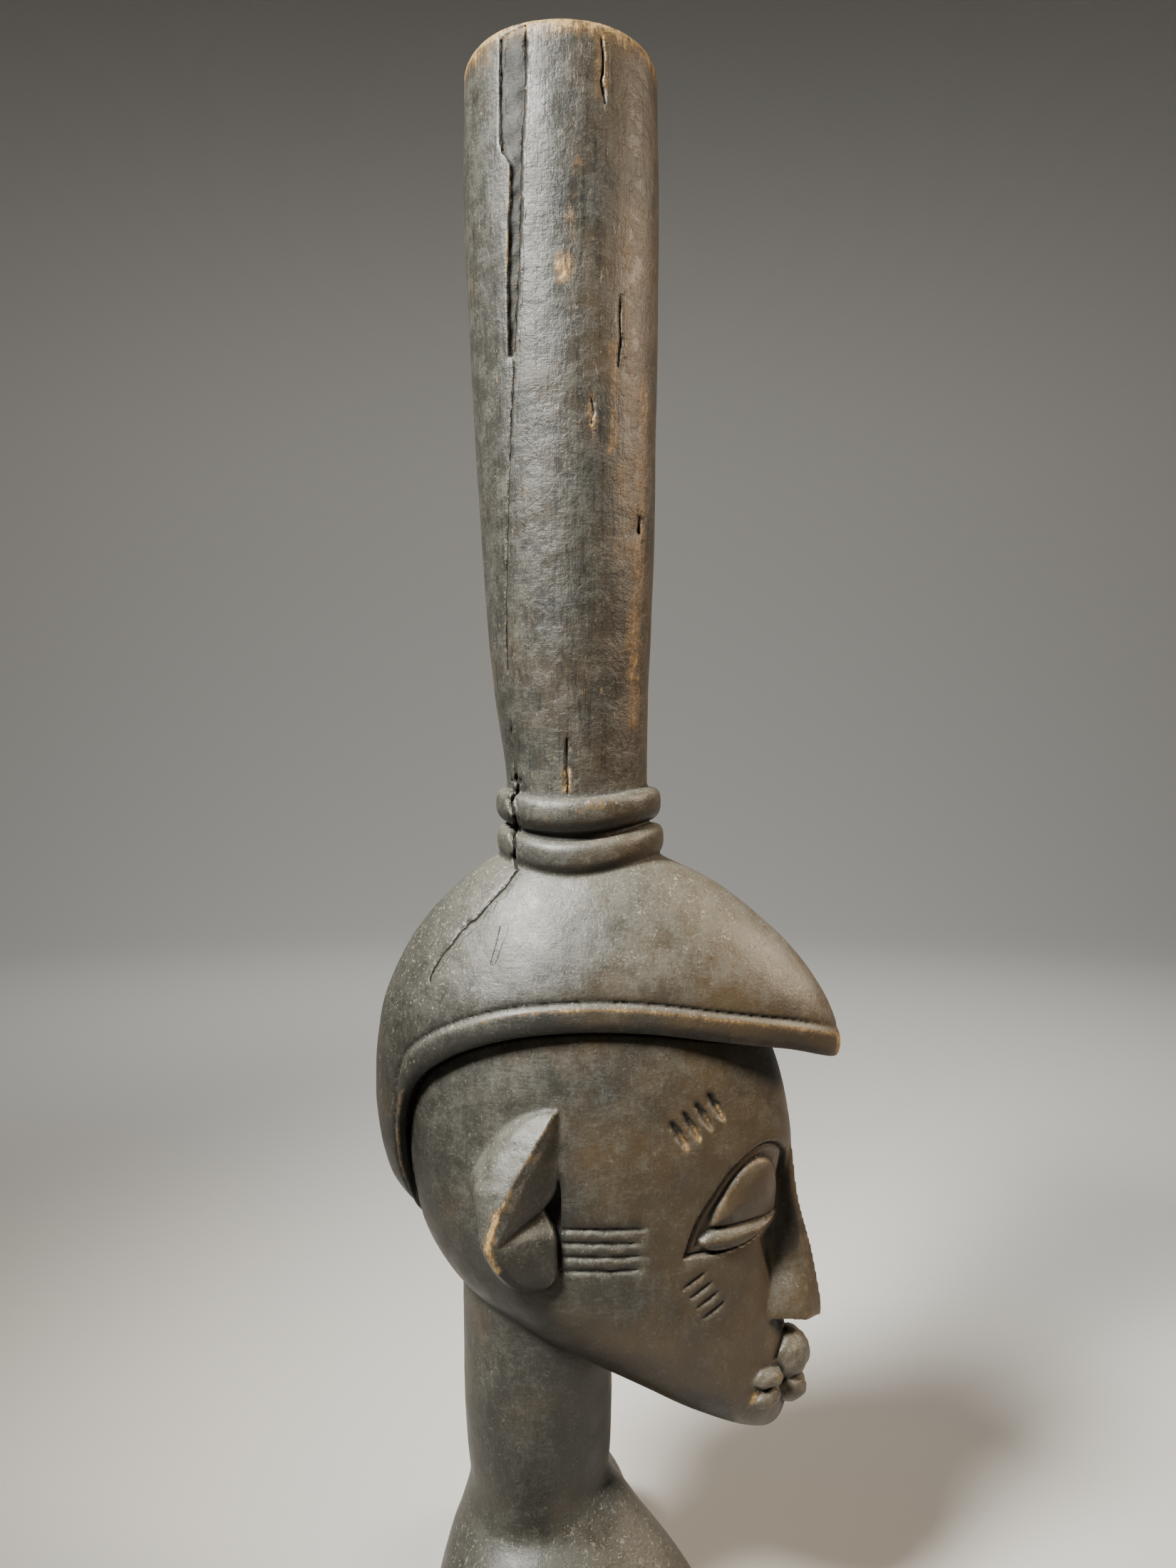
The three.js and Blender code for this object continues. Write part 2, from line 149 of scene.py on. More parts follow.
class Block:
    """A box of the carving's grid, with the coordinates of its cells."""

    def __init__(self, low, high, within=None):
        self.start = np.floor(np.array(low) / VOXEL).astype(int)
        self.stop = np.ceil(np.array(high) / VOXEL).astype(int)
        if within:
            self.start = np.maximum(self.start, within.start)
            self.stop = np.minimum(self.stop, within.stop)
        self.shape = tuple(self.stop - self.start)
        steps = [np.arange(a, b, dtype=np.float32) * VOXEL for a, b in zip(self.start, self.stop)]
        self.x, self.y, self.z = np.ix_(*steps)

    def part(self, low, high):
        """A smaller box inside this one: its own Block, and where it lies in this one's arrays."""
        inner = Block(low, high, self)
        where = tuple(slice(a - s, b - s) for a, b, s in zip(inner.start, inner.stop, self.start))
        return inner, where

    def sample(self, grid):
        values = np.empty(self.shape, dtype=np.float32)
        grid.copyToArray(values, ijk=tuple(int(v) for v in self.start))
        return values


def distance_grid(points, triangles):
    transform = vdb.createLinearTransform(voxelSize=VOXEL)
    return vdb.FloatGrid.createLevelSetFromPolygons(
        points, triangles=triangles, transform=transform, halfWidth=float(NEAR)
    )


def join(a, b, blend=0.0):
    """The wood of both, with a fillet of about the blend's size where they meet."""
    if blend <= 0:
        return np.minimum(a, b)
    h = np.maximum(blend - np.abs(a - b), 0) / blend
    return np.minimum(a, b) - h * h * blend / 4


def cut(a, b, blend=0.0):
    """The wood of the first without the second, with an edge rounded by about the blend's size."""
    return -join(-a, b, blend)


def pebble(x, y, z, sizes):
    """Distance to an ellipsoid round the middle, true near its surface."""
    reach = np.sqrt((x / sizes[0]) ** 2 + (y / sizes[1]) ** 2 + (z / sizes[2]) ** 2)
    slope = np.sqrt((x / sizes[0] ** 2) ** 2 + (y / sizes[1] ** 2) ** 2 + (z / sizes[2] ** 2) ** 2)
    return (reach - 1) * reach / np.maximum(slope, 1e-4)


def ellipsoid(place, centre, sizes):
    """An ellipsoid on the right side and its mirror image, or one in the middle."""
    x = -np.abs(place.x) - centre[0] if centre[0] else place.x
    return pebble(x, place.y - centre[1], place.z - centre[2], sizes)


def line_side(path, u, v):
    """Distance in a plane to a path of straight stretches, and the nearest place's share of its length.

    The distance is below zero on the right-hand side of the path.
    """
    path = np.asarray(path, dtype=np.float32)
    runs = np.diff(path, axis=0)
    lengths = np.hypot(runs[:, 0], runs[:, 1])
    total = lengths.sum()
    best = np.full(np.broadcast(u, v).shape, 1e9, dtype=np.float32)
    along = np.zeros_like(best)
    done = 0.0
    for (pu, pv), (du, dv), length in zip(path[:-1], runs, lengths):
        t = np.clip(((u - pu) * du + (v - pv) * dv) / (length * length + 1e-9), 0, 1)
        d = np.hypot(u - pu - t * du, v - pv - t * dv)
        nearer = d < np.abs(best)
        left = du * (v - pv) > dv * (u - pu)
        best = np.where(nearer, np.where(left, d, -d), best)
        along = np.where(nearer, (done + t * length) / total, along)
        done += length
    return best, along


def line_distance(path, u, v):
    signed, along = line_side(path, u, v)
    return np.abs(signed), along


def outline_distance(path, u, v):
    """Signed distance in a plane to a closed outline, negative inside."""
    path = np.asarray(path, dtype=np.float32)
    closed = np.vstack([path, path[:1]])
    distance, _ = line_distance(closed, u, v)
    inside = np.zeros(distance.shape, dtype=bool)
    for (au, av), (bu, bv) in zip(closed[:-1], closed[1:]):
        if av == bv:
            continue
        crosses = (av > v) != (bv > v)
        inside ^= crosses & (u < (bu - au) * (v - av) / (bv - av) + au)
    return np.where(inside, -distance, distance)


def curve_distance(points, count, u, v):
    """Signed distance in a plane to the smooth closed curve through the points, negative inside."""
    return outline_distance(smooth_path([*points, points[0]], count)[:-1], u, v)


def ease(value, low, high):
    """0 below low, 1 above high, and a smooth step between."""
    t = np.clip((value - low) / (high - low), 0, 1)
    return t * t * (3 - 2 * t)


def deepest(*depths):
    """The largest of several depths or amounts at every place."""
    return reduce(np.maximum, depths)


def waves(place, size, seed):
    """Slow unevenness from a few crossing waves, about -1 to 1, size mm from crest to crest."""
    rng = np.random.default_rng(seed)
    total = 0.0
    for _ in range(5):
        direction = rng.normal(size=3)
        direction *= 2 * math.pi / size / np.linalg.norm(direction) * rng.uniform(0.6, 1.4)
        phase = rng.uniform(0, 2 * math.pi)
        at = direction[0] * place.x + direction[1] * place.y + direction[2] * place.z
        total = total + np.sin(at + phase)
    return (total / 5).astype(np.float32)


# Shapes of the figure, in millimetres from the neck's axis: the same stations as the solid has

SHAFT_FOOT = 318
SHAFT_EDGE_ROUND = 5.0
shaft_line = stations([
    [318, 27.5, -16.5],
    [348, 27.9, -15.7],
    [380, 30.3, -13.7],
    [404, 32.2, -13],
    [435, 33.9, -12.3],
    [486, 36, -11.1],
    [516, 37.1, -10.5],
    [577, 38.6, -9.4],
    [627, 38.5, -9.3],
])

RING_HALF_HEIGHT = 6.6
RING_BULGE = 5.5
RINGS = (
    {"height": 337.3, "dip": 4.4, "reach": 32.6, "centre": -16.4},
    {"height": 323.2, "dip": 6.4, "reach": 32.9, "centre": -17.2},
)

# Height, front, back, half width, widest line, keel of the front
cap_line = stations([
    [169, 24, 44, 8, 34, 2],
    [178, 12, 51.5, 19, 27, 2],
    [186, -4, 57, 28, 20, 2],
    [193, -22, 60.2, 34.5, 14, 2],
    [204, -50, 63, 42, 8, 2],
    [219, -88, 65, 48, 2, 1.9],
    [233, -115, 65.2, 51.2, -2, 1.75],
    [241, -118.6, 64.8, 52.2, -4, 1.65],
    [249, -118.2, 63.8, 52.2, -6, 1.65],
    [257, -115.8, 62.6, 51.4, -8, 1.68],
    [266, -111.4, 59.6, 49.8, -9, 1.72],
    [275, -105.2, 55.6, 47.2, -11, 1.78],
    [284, -97.8, 50.6, 44, -12, 1.83],
    [293, -88.2, 44, 40.2, -13, 1.9],
    [303, -75.8, 34.5, 35.4, -14, 1.95],
    [310, -64.5, 26.5, 31.2, -15, 2],
    [316, -51.5, 18, 26.5, -16, 2],
    [322, -40, 8, 20, -16, 2],
])

# The cap's lower edge in side view, from the beak over the ear to the nape
CAP_EDGE = [
    (-122, 239), (-111, 243.4), (-100, 247), (-88, 249.4), (-72, 252.2), (-48.5, 255.8), (-24.8, 256.5),
    (-1.5, 254.1), (18.8, 248), (33, 240), (39.8, 233.2), (43.6, 226), (46, 216.5), (46.8, 207),
    (46.4, 198), (45.2, 188), (44, 166),
]

head_line = stations([
    [98.5, -91, -86, 4, -88.5, 2],
    [100.5, -94, -81, 9, -86.5, 2],
    [103.5, -96, -71, 14.5, -82, 2],
    [108, -97.2, -60, 20, -76, 2],
    [114, -97.2, -47, 25.5, -67, 2],
    [121, -96.6, -33, 30.3, -57, 1.95],
    [129, -96.2, -14, 34.6, -45, 1.9],
    [137, -95.6, 3.5, 38.5, -34, 1.88],
    [145, -94.8, 18.5, 41.6, -25, 1.85],
    [154, -93.8, 31, 44.4, -17, 1.82],
    [165, -93, 40, 46.2, -11, 1.8],
    [175, -93, 45.3, 47, -9, 1.8],
    [187, -94.5, 49.5, 47.4, -8, 1.8],
    [199, -97.6, 53.2, 47.4, -8, 1.82],
    [210, -99.3, 54.8, 47.1, -8, 1.86],
    [221, -98.2, 56.4, 46.6, -8, 1.9],
    [233, -95.8, 56.6, 46, -9, 1.92],
    [243, -92.6, 54.4, 45, -10, 1.95],
    [258, -86, 52, 43, -10, 2],
    [275, -72, 42, 36, -12, 2],
    [295, -45, 22, 22, -14, 2],
])

# Height, ridge, half width at the foot
nose_line = stations([
    [142.6, -110.4, 12],
    [144.5, -111, 12],
    [149, -110.6, 11],
    [154, -109.6, 8.8],
    [160, -108.4, 5.6],
    [167, -107, 4.3],
    [183, -102.7, 3.9],
    [192, -101.2, 3.9],
    [201, -100.3, 3.8],
    [212, -98.8, 3.6],
])

NOSE_TIP_DROP = 1.9  # the underside of the nose runs down towards its tip

# Height, how far the ear's rim stands out, the rim along Y, the back of its root along Y
ear_line = stations([
    [163, 49.5, -6.5, 0],
    [166, 54, -2.5, 3],
    [170, 58, 0, 5.5],
    [175, 61.3, 2.2, 7.8],
    [182, 64, 4.9, 10.6],
    [188, 63.3, 3.7, 12.8],
    [193, 62.3, 2.1, 14.4],
    [200, 60.5, -0.8, 16.6],
    [207, 58.3, -4.4, 13.6],
    [213, 56, -7.8, 9.8],
    [218, 53.8, -10.6, 6.3],
    [222, 51.9, -12.9, 2.2],
    [225, 50.2, -14.3, -3],
    [227.4, 48.4, -15.4, -11],
])
# Height, and where along Y the flat land beside the ear's rim ends
ear_land = stations([
    [163, -7], [175, -1.5], [182, 2.6], [188, 0.3], [193, -2], [199, -4.2], [204, -6.6], [209, -9.2],
    [216, -13], [227.4, -16.2],
])
EAR_FRONT = -16.5
LAND_RISE = 1.3  # how far the land stands out from the straight line between the ear's root and its rim

LIP_LOBES = (
    {"centre": (0, -96.8, 126.3), "sizes": (10, 9.8, 9.8), "blend": 2.5},
    {"centre": (-13.2, -89.0, 122.6), "sizes": (7.8, 7.6, 4.2), "blend": 0.5},
    {"centre": (0, -97.3, 113.8), "sizes": (8.8, 8.3, 6.2), "blend": 0.5},
    {"centre": (-12.8, -87.3, 115.4), "sizes": (8.2, 8.2, 4.4), "blend": 0.5},
)
LIPS_BACK = -78
MUZZLE = {"centre": (0, -88.5, 131), "sizes": (13.5, 8.5, 12)}
# The crease between the upper lip and the muzzle
LIP_LINE = [
    (-93.6, 128.5), (-95.6, 133.0), (-98.8, 136.4), (-104.5, 139.2),
]

NECK_TOP = 160
neck_line = stations([
    [20, 26.6, -0.4], [70, 27.1, -0.6], [85, 28.4, -0.4], [118, 29.4, 0], [160, 29.6, 0.3],
])

# Height, front, back, half width, widest line, keel of the front
chest_line = stations([
    [0, -80, 43, 60, -6, 1.5],
    [15, -73.5, 41.5, 58, -5, 1.5],
    [31, -63.5, 38.7, 53, -4, 1.55],
    [42, -55.6, 36.3, 45, -3, 1.6],
    [51, -48.5, 33.8, 35, -2, 1.7],
    [58, -42.5, 31, 28.5, -1, 1.8],
    [65, -36.5, 28.6, 25.5, 0, 1.9],
    [73, -28.5, 26, 24, 0, 2],
])
SHOULDER = {"centre": (-56, 1, 2), "sizes": (38, 34, 50), "tip": 0.25}


def egg_loft(line, low, high, step):
    heights = np.linspace(low, high, int((high - low) / step) + 1)
    front, back, half, widest, front_power = line(heights)
    return loft(
        [
            egg_section(*row)
            for row in zip(heights, front, back, np.maximum(half, 0.5), widest, front_power)
        ]
    )


def nose_loft():
    sections = []
    foot = -84.0
    for z in np.linspace(142.6, 212, 60):
        ridge, half = (float(v) for v in nose_line(z))
        right = smooth_path(
            [
                (half, foot),
                (half, foot - 8),
                (half * 0.66, ridge + 6.5),
                (min(half * 0.55, 3.0), ridge + 2.2),
                (0, ridge - 0.2),
            ],
            25,
        )
        left = right[::-1][1:] * [-1, 1]
        ring = np.vstack([right, left])[::-1]
        tip = NOSE_TIP_DROP * ease(-ring[:, 1], 96, 110) * (1 - ease(z, 143, 160))
        sections.append(np.column_stack([ring, z - tip]))
    return loft(sections)


def ear_loft():
    """The right ear's wedge: a domed back, a rim, and a front cut straight down to the head."""
    sections = []
    for z in np.linspace(163, 227.4, 80):
        out, rim, back = (float(v) for v in ear_line(z))
        proud = 3.2 * float(ease(-z, -189, -183) * ease(z, 162, 166))
        front_y = EAR_FRONT + 5.5 * float(ease(-z, -172, -162)) ** 2
        corner = np.array([46.6 + proud, front_y])
        crest = np.array([out, rim])
        run = crest - corner
        inward = np.array([-run[1], run[0]]) / np.hypot(*run) * min(1.0, np.hypot(*run) / 20)
        share = float(np.clip((float(ear_land(z)[0]) - front_y) / (rim - front_y), 0.2, 0.85))
        land = corner + share * run - LAND_RISE * inward
        front = [
            (36, front_y),
            corner,
            corner + 0.5 * (land - corner) + 0.5 * inward,
            land,
            land + 0.5 * (crest - land),
            crest,
        ]
        dome = smooth_path(
            [
                (out, rim),
                (out - 0.8, rim + 0.22 * (back - rim)),
                (0.72 * out + 0.28 * 44, rim + 0.68 * (back - rim)),
                (44.5, back),
            ],
            12,
        )
        ring = np.vstack([front[:1], smooth_path(front[1:], 20), dome[1:], [(36, back)]])[::-1]
        sections.append(np.column_stack([-ring[:, 0], ring[:, 1], np.full(len(ring), z)]))
    return loft(sections)


def shaft_field(block):
    radius, centre = shaft_line(block.z)
    out = np.hypot(block.x, block.y - centre) - radius
    top = block.z - TOTAL_HEIGHT
    return cut(np.maximum(out, SHAFT_FOOT - block.z), -top, SHAFT_EDGE_ROUND).astype(np.float32)


def ring_field(block, height, dip, reach, centre):
    y = block.y - centre
    out = np.hypot(block.x, y)
    sideways = (block.x / np.maximum(out, 1)) ** 2
    above = block.z - height + dip * sideways
    rise = np.abs(above) / RING_HALF_HEIGHT
    away = np.maximum(out - reach + RING_BULGE, 0) / RING_BULGE
    power = np.where(above > 0, 3.2, 2.2)
    size = (rise**power + away**power) ** (1 / power)
    return ((size - 1) * (RING_BULGE + RING_HALF_HEIGHT) / 2).astype(np.float32)


def neck_field(place, sizes):
    radius, centre = neck_line(place.z)
    out = np.hypot(place.x, place.y - centre) - radius
    uneven = sizes["unevenness"] * (0.7 * waves(place, 45, 12) + 0.25 * waves(place, 15, 13))
    return np.maximum(out, place.z - NECK_TOP).astype(np.float32) + uneven


def shoulder_field(block):
    x = -np.abs(block.x) - SHOULDER["centre"][0]
    y, z = block.y - SHOULDER["centre"][1], block.z - SHOULDER["centre"][2]
    tip = math.atan(SHOULDER["tip"])
    c, s = math.cos(tip), math.sin(tip)
    return pebble(c * x + s * z, y, c * z - s * x, SHOULDER["sizes"])


# The carving, part by part. A place is a Block or a set of points: anything that has x, y and z


class Points:
    """Loose points, for asking the same questions of a mesh's vertices as of a Block's cells."""

    def __init__(self, table):
        self.x, self.y, self.z = (np.ascontiguousarray(table[:, k], dtype=np.float32) for k in range(3))


def shaft_with_rings(place, sizes):
    """The tall round shaft and the two rings round its foot."""
    body = shaft_field(place)
    side = place.x < 0
    body = body + np.where(side, split_depth(place) + shaft_cracks(place), 0)
    body = body + sizes["unevenness"] * (0.9 * waves(place, 60, 3) + 0.35 * waves(place, 19, 4))
    for ring in RINGS:
        body = join(body, ring_field(place, **ring), 1.2)
    return body + np.where(side, ring_crack_depth(place), 0)


SPLIT_FOOT = 504  # where the missing splinter ends
# The split down the right side of the shaft, in side view: the crack itself, then the border of the long
# splinter that is missing behind it
SPLIT = [(-3.1, 625), (-2.4, 600), (-1.2, 578), (-0.8, 560), (0.6, 530), (2.4, SPLIT_FOOT)]
SPLINTER = [(6.9, 622), (7.0, 600), (6.6, 580), (3.0, 574), (3.4, 560), (4.6, 530), (4.4, SPLIT_FOOT)]
SPLIT_TAIL = [
    (2.4, SPLIT_FOOT), (2.2, 497), (3.4, 484), (4.2, 468), (6.0, 434), (6.8, 412), (7.2, 392), (6.8, 386),
]
SPLIT_END = [(6.4, 367), (5.9, 357), (5.6, 346)]
RING_CRACK = [
    (5.4, 350), (4.0, 343), (5.8, 338), (4.0, 332), (5.6, 327), (3.8, 321), (4.4, 316), (3.0, 312),
]

# Smaller cracks: path in side view, half width, depth
SHAFT_CRACKS = (
    ([(-30.3, 620), (-30.9, 611), (-30.2, 604), (-31.6, 596)], 0.8, 1.6),
    ([(-36.8, 528), (-36.2, 520), (-36.6, 512), (-35.7, 500)], 0.7, 1.1),
    ([(-42.3, 447), (-41.9, 440)], 0.8, 1.0),
    ([(-26.7, 487), (-27.2, 482), (-26.4, 477)], 0.7, 0.9),
    ([(-16.9, 362), (-16.5, 352), (-16.8, 341)], 0.8, 1.3),
)
CAP_CRACK = [
    (1.5, 313.3), (4.3, 309.7), (7.1, 305.4), (9.9, 302.6), (14.5, 297.2), (17.5, 293.6), (20.1, 292.7),
    (20.8, 290.9), (22.7, 290.0), (25.5, 284.8), (27.8, 282.5), (30.2, 279.7), (32.3, 275.5),
    (33.8, 273.0), (33.5, 270.6),
]
CAP_HAIRLINE = [(6.5, 293), (7.6, 285), (8.6, 279)]


def crack_depth(place, path, half_width, depth):
    """A crack with sloping, ragged sides along a path in side view."""
    away, along = line_distance(path, place.y, place.z)
    open_width = half_width * (0.35 + 0.65 * ease(along, 0, 0.12) * ease(1 - along, 0, 0.12))
    open_width = open_width * np.maximum(1 + 0.9 * waves(place, 5, 31), 0.3)
    return depth * np.clip(1 - away / open_width, 0, 1)


def ring_crack_depth(place):
    """The crack through both rings, with chips broken out beside it."""
    away, _ = line_distance(RING_CRACK, place.y, place.z)
    chips = 1.1 * ease(waves(place, 3.4, 33), 0.05, 0.4) * ease(3.2 - away, 0, 1.2)
    return np.maximum(crack_depth(place, RING_CRACK, 1.1, 2.6), chips * (place.z > 309) * (place.z < 347))


def split_depth(place):
    """The floor where the splinter came out, sloping down to the crack, and the crack running on below."""
    inside = -outline_distance([*SPLIT, *SPLINTER[::-1]], place.y, place.z)
    from_crack, _ = line_distance(SPLIT, place.y, place.z)
    share = np.clip(1 - from_crack / (from_crack + np.maximum(inside, 0.01) + 3.5), 0, 1)
    torn = 1 + 0.3 * waves(place, 11, 35) + 0.12 * waves(place, 5, 36)
    torn = torn * (0.25 + 0.75 * ease(-place.z, -626, -608))
    floor = (1.1 + 1.8 * share) * torn * ease(inside, -0.4, 0.6)
    border = crack_depth(place, SPLINTER[:3], 0.8, 1.6)
    crack = crack_depth(place, SPLIT, 0.95, 3.0)
    tail = crack_depth(place, SPLIT_TAIL, 0.6, 0.9)
    end = crack_depth(place, SPLIT_END, 0.7, 0.9)
    return deepest(floor, border, crack, tail, end)


def shaft_cracks(place):
    return deepest(*(crack_depth(place, path, width, depth) for path, width, depth in SHAFT_CRACKS))


def cap_rise(place):
    """Height above the cap's lower edge, measured square to it in side view: negative on the face."""
    edge = smooth_path(CAP_EDGE, 70)
    face = np.vstack([edge, [(44.5, -100), (-250, -100), (-250, 236)]])
    return outline_distance(face, place.y, place.z)


def cap_field(block, rise, sizes):
    """The cap, with the rolled band along its lower edge and the cut line above the band."""
    shell = block.sample(distance_grid(*egg_loft(cap_line, 169, 322, 1.5)))
    shell = shell + sizes["unevenness"] * (0.8 * waves(block, 55, 5) + 0.3 * waves(block, 17, 6))
    groove, deep = sizes["groove_width"], sizes["groove_depth"]
    width = band_width_at(block, sizes)
    beyond = rise - width
    beak = ease(-block.y, 96, 117)
    crown = 0.86 * width
    under = (2.6 - 1.2 * beak) * np.clip(1 - rise / crown, 0, 1) ** 1.8
    roll = np.where(rise < crown, under, 0.35 * ease(rise, crown, width))
    line = deep * (1 - 0.8 * beak) * np.clip(1 - np.abs(beyond - groove / 2) / (groove / 2 + 0.4), 0, 1)
    shoulder = 1.0 * (1 - 0.7 * beak) * np.exp(-np.maximum(beyond - groove / 2, 0) / 4.0)
    shell = shell + np.where(beyond < groove / 2, roll, shoulder) + line
    cap = cut(shell, rise + 0.7, 1.6)
    right = block.x < 0
    return cap + np.where(right, crack_depth(block, CAP_CRACK, 0.9, 0.9), 0)


def nape(place):
    """0 over the front of the cap's edge, 1 behind the ears, where the edge runs down."""
    return ease(place.y, 5, 42) * ease(255 - place.z, 5, 35)


BAND_NARROWING = 0.72  # share of its width that the band loses at the nape


def band_width_at(place, sizes):
    """The band narrows as it runs down to the nape."""
    return sizes["band_width"] * (1 - BAND_NARROWING * nape(place))


def under_cap_gap(place, rise):
    """The shadow gap cut into the head along the band, deepest at the nape, where the rim stands free."""
    width = 1.1 - 0.1 * nape(place)
    depth = 0.8 + 0.4 * nape(place)
    return depth * np.clip(1.2 - np.abs(rise + 0.6 + width * 0.4) / width, 0, 1)


# The eye, in a plane that lies against the face: along is towards the nose, up is up, from the eye's middle
EYE = {"middle": (-25.5, -79.5, 190.0), "along": (0.632, -0.775)}
EYE_RIM = [
    (-20.5, -17.5), (-15.7, -4.9), (-9.4, 4.8), (-3.2, 13.0), (5.1, 19.2), (13.0, 21.6), (20.5, 19.6),
    (26.2, 13.4), (27.8, 4.0), (26.2, -6.4), (20.6, -11.6), (12.0, -14.8), (3.0, -16.8), (-6.5, -17.4),
    (-14.0, -17.0),
]
UPPER_LID = [
    (-9.6, -7.4), (-7.5, -0.8), (-5.2, 3.0), (-2.3, 7.9), (1.4, 12.4), (5.5, 15.2), (10.0, 16.2),
    (14.6, 14.9), (18.4, 11.7), (21.5, 6.2), (23.8, 0.0), (24.8, -5.2), (22.5, -8.1), (16.6, -8.6),
    (7.2, -8.3), (-1.8, -8.4),
]
LOWER_LID = [
    (-14.2, -11.8), (-12.9, -10.7), (-8.5, -8.7), (-1.7, -8.1), (6.4, -8.0), (14.2, -8.3), (20.8, -8.5),
    (25.0, -7.9), (23.1, -11.0), (16.7, -13.3), (11.1, -14.9), (5.3, -16.2), (0.1, -16.8),
    (-5.5, -16.8), (-10.2, -15.9), (-13.4, -14.0),
]


def eye_plane(place):
    x = -np.abs(place.x) - EYE["middle"][0]
    y = place.y - EYE["middle"][1]
    return x * EYE["along"][0] + y * EYE["along"][1], place.z - EYE["middle"][2]


def eye_depth(place):
    """How deep the eye is cut below the face: a rim line, a narrow band, and two full lids."""
    along, up = eye_plane(place)
    rim = curve_distance(EYE_RIM, 60, along, up)
    upper = curve_distance(UPPER_LID, 50, along, up)
    lower = curve_distance(LOWER_LID, 50, along, up)
    floor = np.interp(-rim, [-0.35, 0.5, 1.5, 2.8, 3.6], [0, 2.1, 1.2, 1.3, 1.8])
    hollow = 1.6 * ease(along, 22, 26) * ease(-rim, 0.3, 1.5)
    upper_height = np.interp(-upper, [0, 0.6, 1.6, 2.4], [0, 1.3, 2.2, 2.2])
    upper_height = upper_height + 1.5 * np.sqrt(ease(-upper, 2.0, 9.0))
    lower_height = 1.3 * ease(-lower, 0, 0.7) + 2.7 * np.sqrt(ease(-lower, 0, 5.0))
    return (floor + hollow - np.maximum(upper_height, lower_height) * (floor > 0)).astype(np.float32)


# Scarification cuts in side view: first cut from and to, step to the next, half width, depth
BROW_CUTS, TEMPLE_CUTS, CHEEK_CUTS = (
    dict(zip(("start", "end", "step", "half", "depth"), row))
    for row in (
        ((-69.0, 233.0), (-75.4, 221.8), (4.3, -3.1), 2.1, 2.0),
        ((-18.3, 185.4), (-47.0, 185.2), (0.0, -4.95), 1.4, 1.25),
        ((-59.7, 161.5), (-68.9, 167.4), (-2.3, -3.9), 1.2, 1.2),
    )
)
TEMPLE_ENDS = (0.0, 3.0, 0.6, 2.0)  # how far the temple cuts stop short of the first


def cut_marks(place, start, end, step, half, depth, stopped=0.0, short=(0, 0, 0, 0), blunt=False):
    """Four like cuts in a row, leaf-shaped or with blunt ends.

    A stopped cut is steep on its upper side and slopes out slowly below.
    """
    found = 0.0
    ragged = 1 + (0.7 if blunt else 0.4) * waves(place, 3.5, 34)
    for k in range(4):
        a = (start[0] + k * step[0], start[1] + k * step[1])
        b = (end[0] + k * step[0] + short[k], end[1] + k * step[1])
        side, along = line_side([a, b], place.y, place.z)
        leaf = np.clip(4 * along * (1 - along), 0.03, 1) ** (0.15 if blunt else 0.5)
        reach = half * leaf * ragged * np.where(side > 0, 1 + stopped, 1 - stopped)
        found = np.maximum(found, depth * leaf * np.clip(1 - np.abs(side) / reach, 0, 1))
    return found


def face_marks(place):
    return deepest(
        cut_marks(place, **BROW_CUTS),
        cut_marks(place, stopped=0.55, short=TEMPLE_ENDS, blunt=True, **TEMPLE_CUTS),
        cut_marks(place, stopped=0.5, **CHEEK_CUTS),
    )


# The flat strip of the face beside the nose, seen from the front: width from the middle, height
NOSE_STRIP = [
    (0, 178), (10.7, 176.5), (14.6, 172.5), (12.2, 166), (9.8, 158), (10.2, 150), (9.8, 144), (9, 139),
    (12, 133.7), (16, 127), (15, 120), (0, 113),
]


def strip_depth(place):
    """The face is cut back towards the nose, so that the cheek ends in a crisp edge there."""
    away = outline_distance(smooth_path(NOSE_STRIP, 40), np.abs(place.x), place.z)
    slope = 0.3 + 0.2 * ease(place.z, 134, 146)
    return np.clip(-slope * away, 0, 3.6) * (place.y < -60)


def both_sides(points, triangles):
    """A closed surface and its mirror image."""
    mirrored = points * np.array([-1, 1, 1], dtype=np.float32)
    return np.vstack([points, mirrored]), np.vstack([triangles, triangles[:, ::-1] + len(points)])


# The fold across the ear's front in side view, from its tip to the dark hollow at its root
EAR_FOLD = {"tip": (2.2, 184.0), "root": (-11.6, 193.0)}
# The slot between the ear's front and the head, wide where the hollow is
EAR_SLOT = [
    (-17.3, 204), (-17.7, 196), (-17.7, 170), (-16.6, 171), (-16.4, 182), (-15.2, 186), (-13.9, 188),
    (-12.2, 191), (-11.6, 192.6), (-12.8, 194.3), (-14.8, 196.6), (-16.1, 199.4), (-16.9, 203),
]


def fold_depth(place):
    """The lower half of the ear's front is folded in under the upper half, with a bevel below the fold."""
    (y, z), (root_y, root_z) = EAR_FOLD["tip"], EAR_FOLD["root"]
    length = math.hypot(root_y - y, root_z - z)
    c, s = (root_y - y) / length, (root_z - z) / length
    along = ((place.y - y) * c + (place.z - z) * s) / length
    below = (place.y - y) * -s + (place.z - z) * c
    reach = np.clip(along, 0, 1.1)
    bevel = np.clip(1 - below / (4.2 + 1.6 * reach), 0, 1)
    return (0.9 + 1.1 * reach) * ease(below, -0.3, 0.35) * bevel * ease(along, -0.1, 0.1)


def ear_field(block, sizes):
    """Both ears: a wedge with a domed back, folded across its front from the tip to the root."""
    ear = block.sample(distance_grid(*both_sides(*ear_loft())))
    dome = ease(block.y + 0.55 * (block.z - 205), -3, 3)
    rough = (0.25 + 0.75 * dome) * (0.7 * waves(block, 7, 8) + 0.22 * waves(block, 3, 9))
    return ear + fold_depth(block) * (block.y < 7) + sizes["unevenness"] * rough


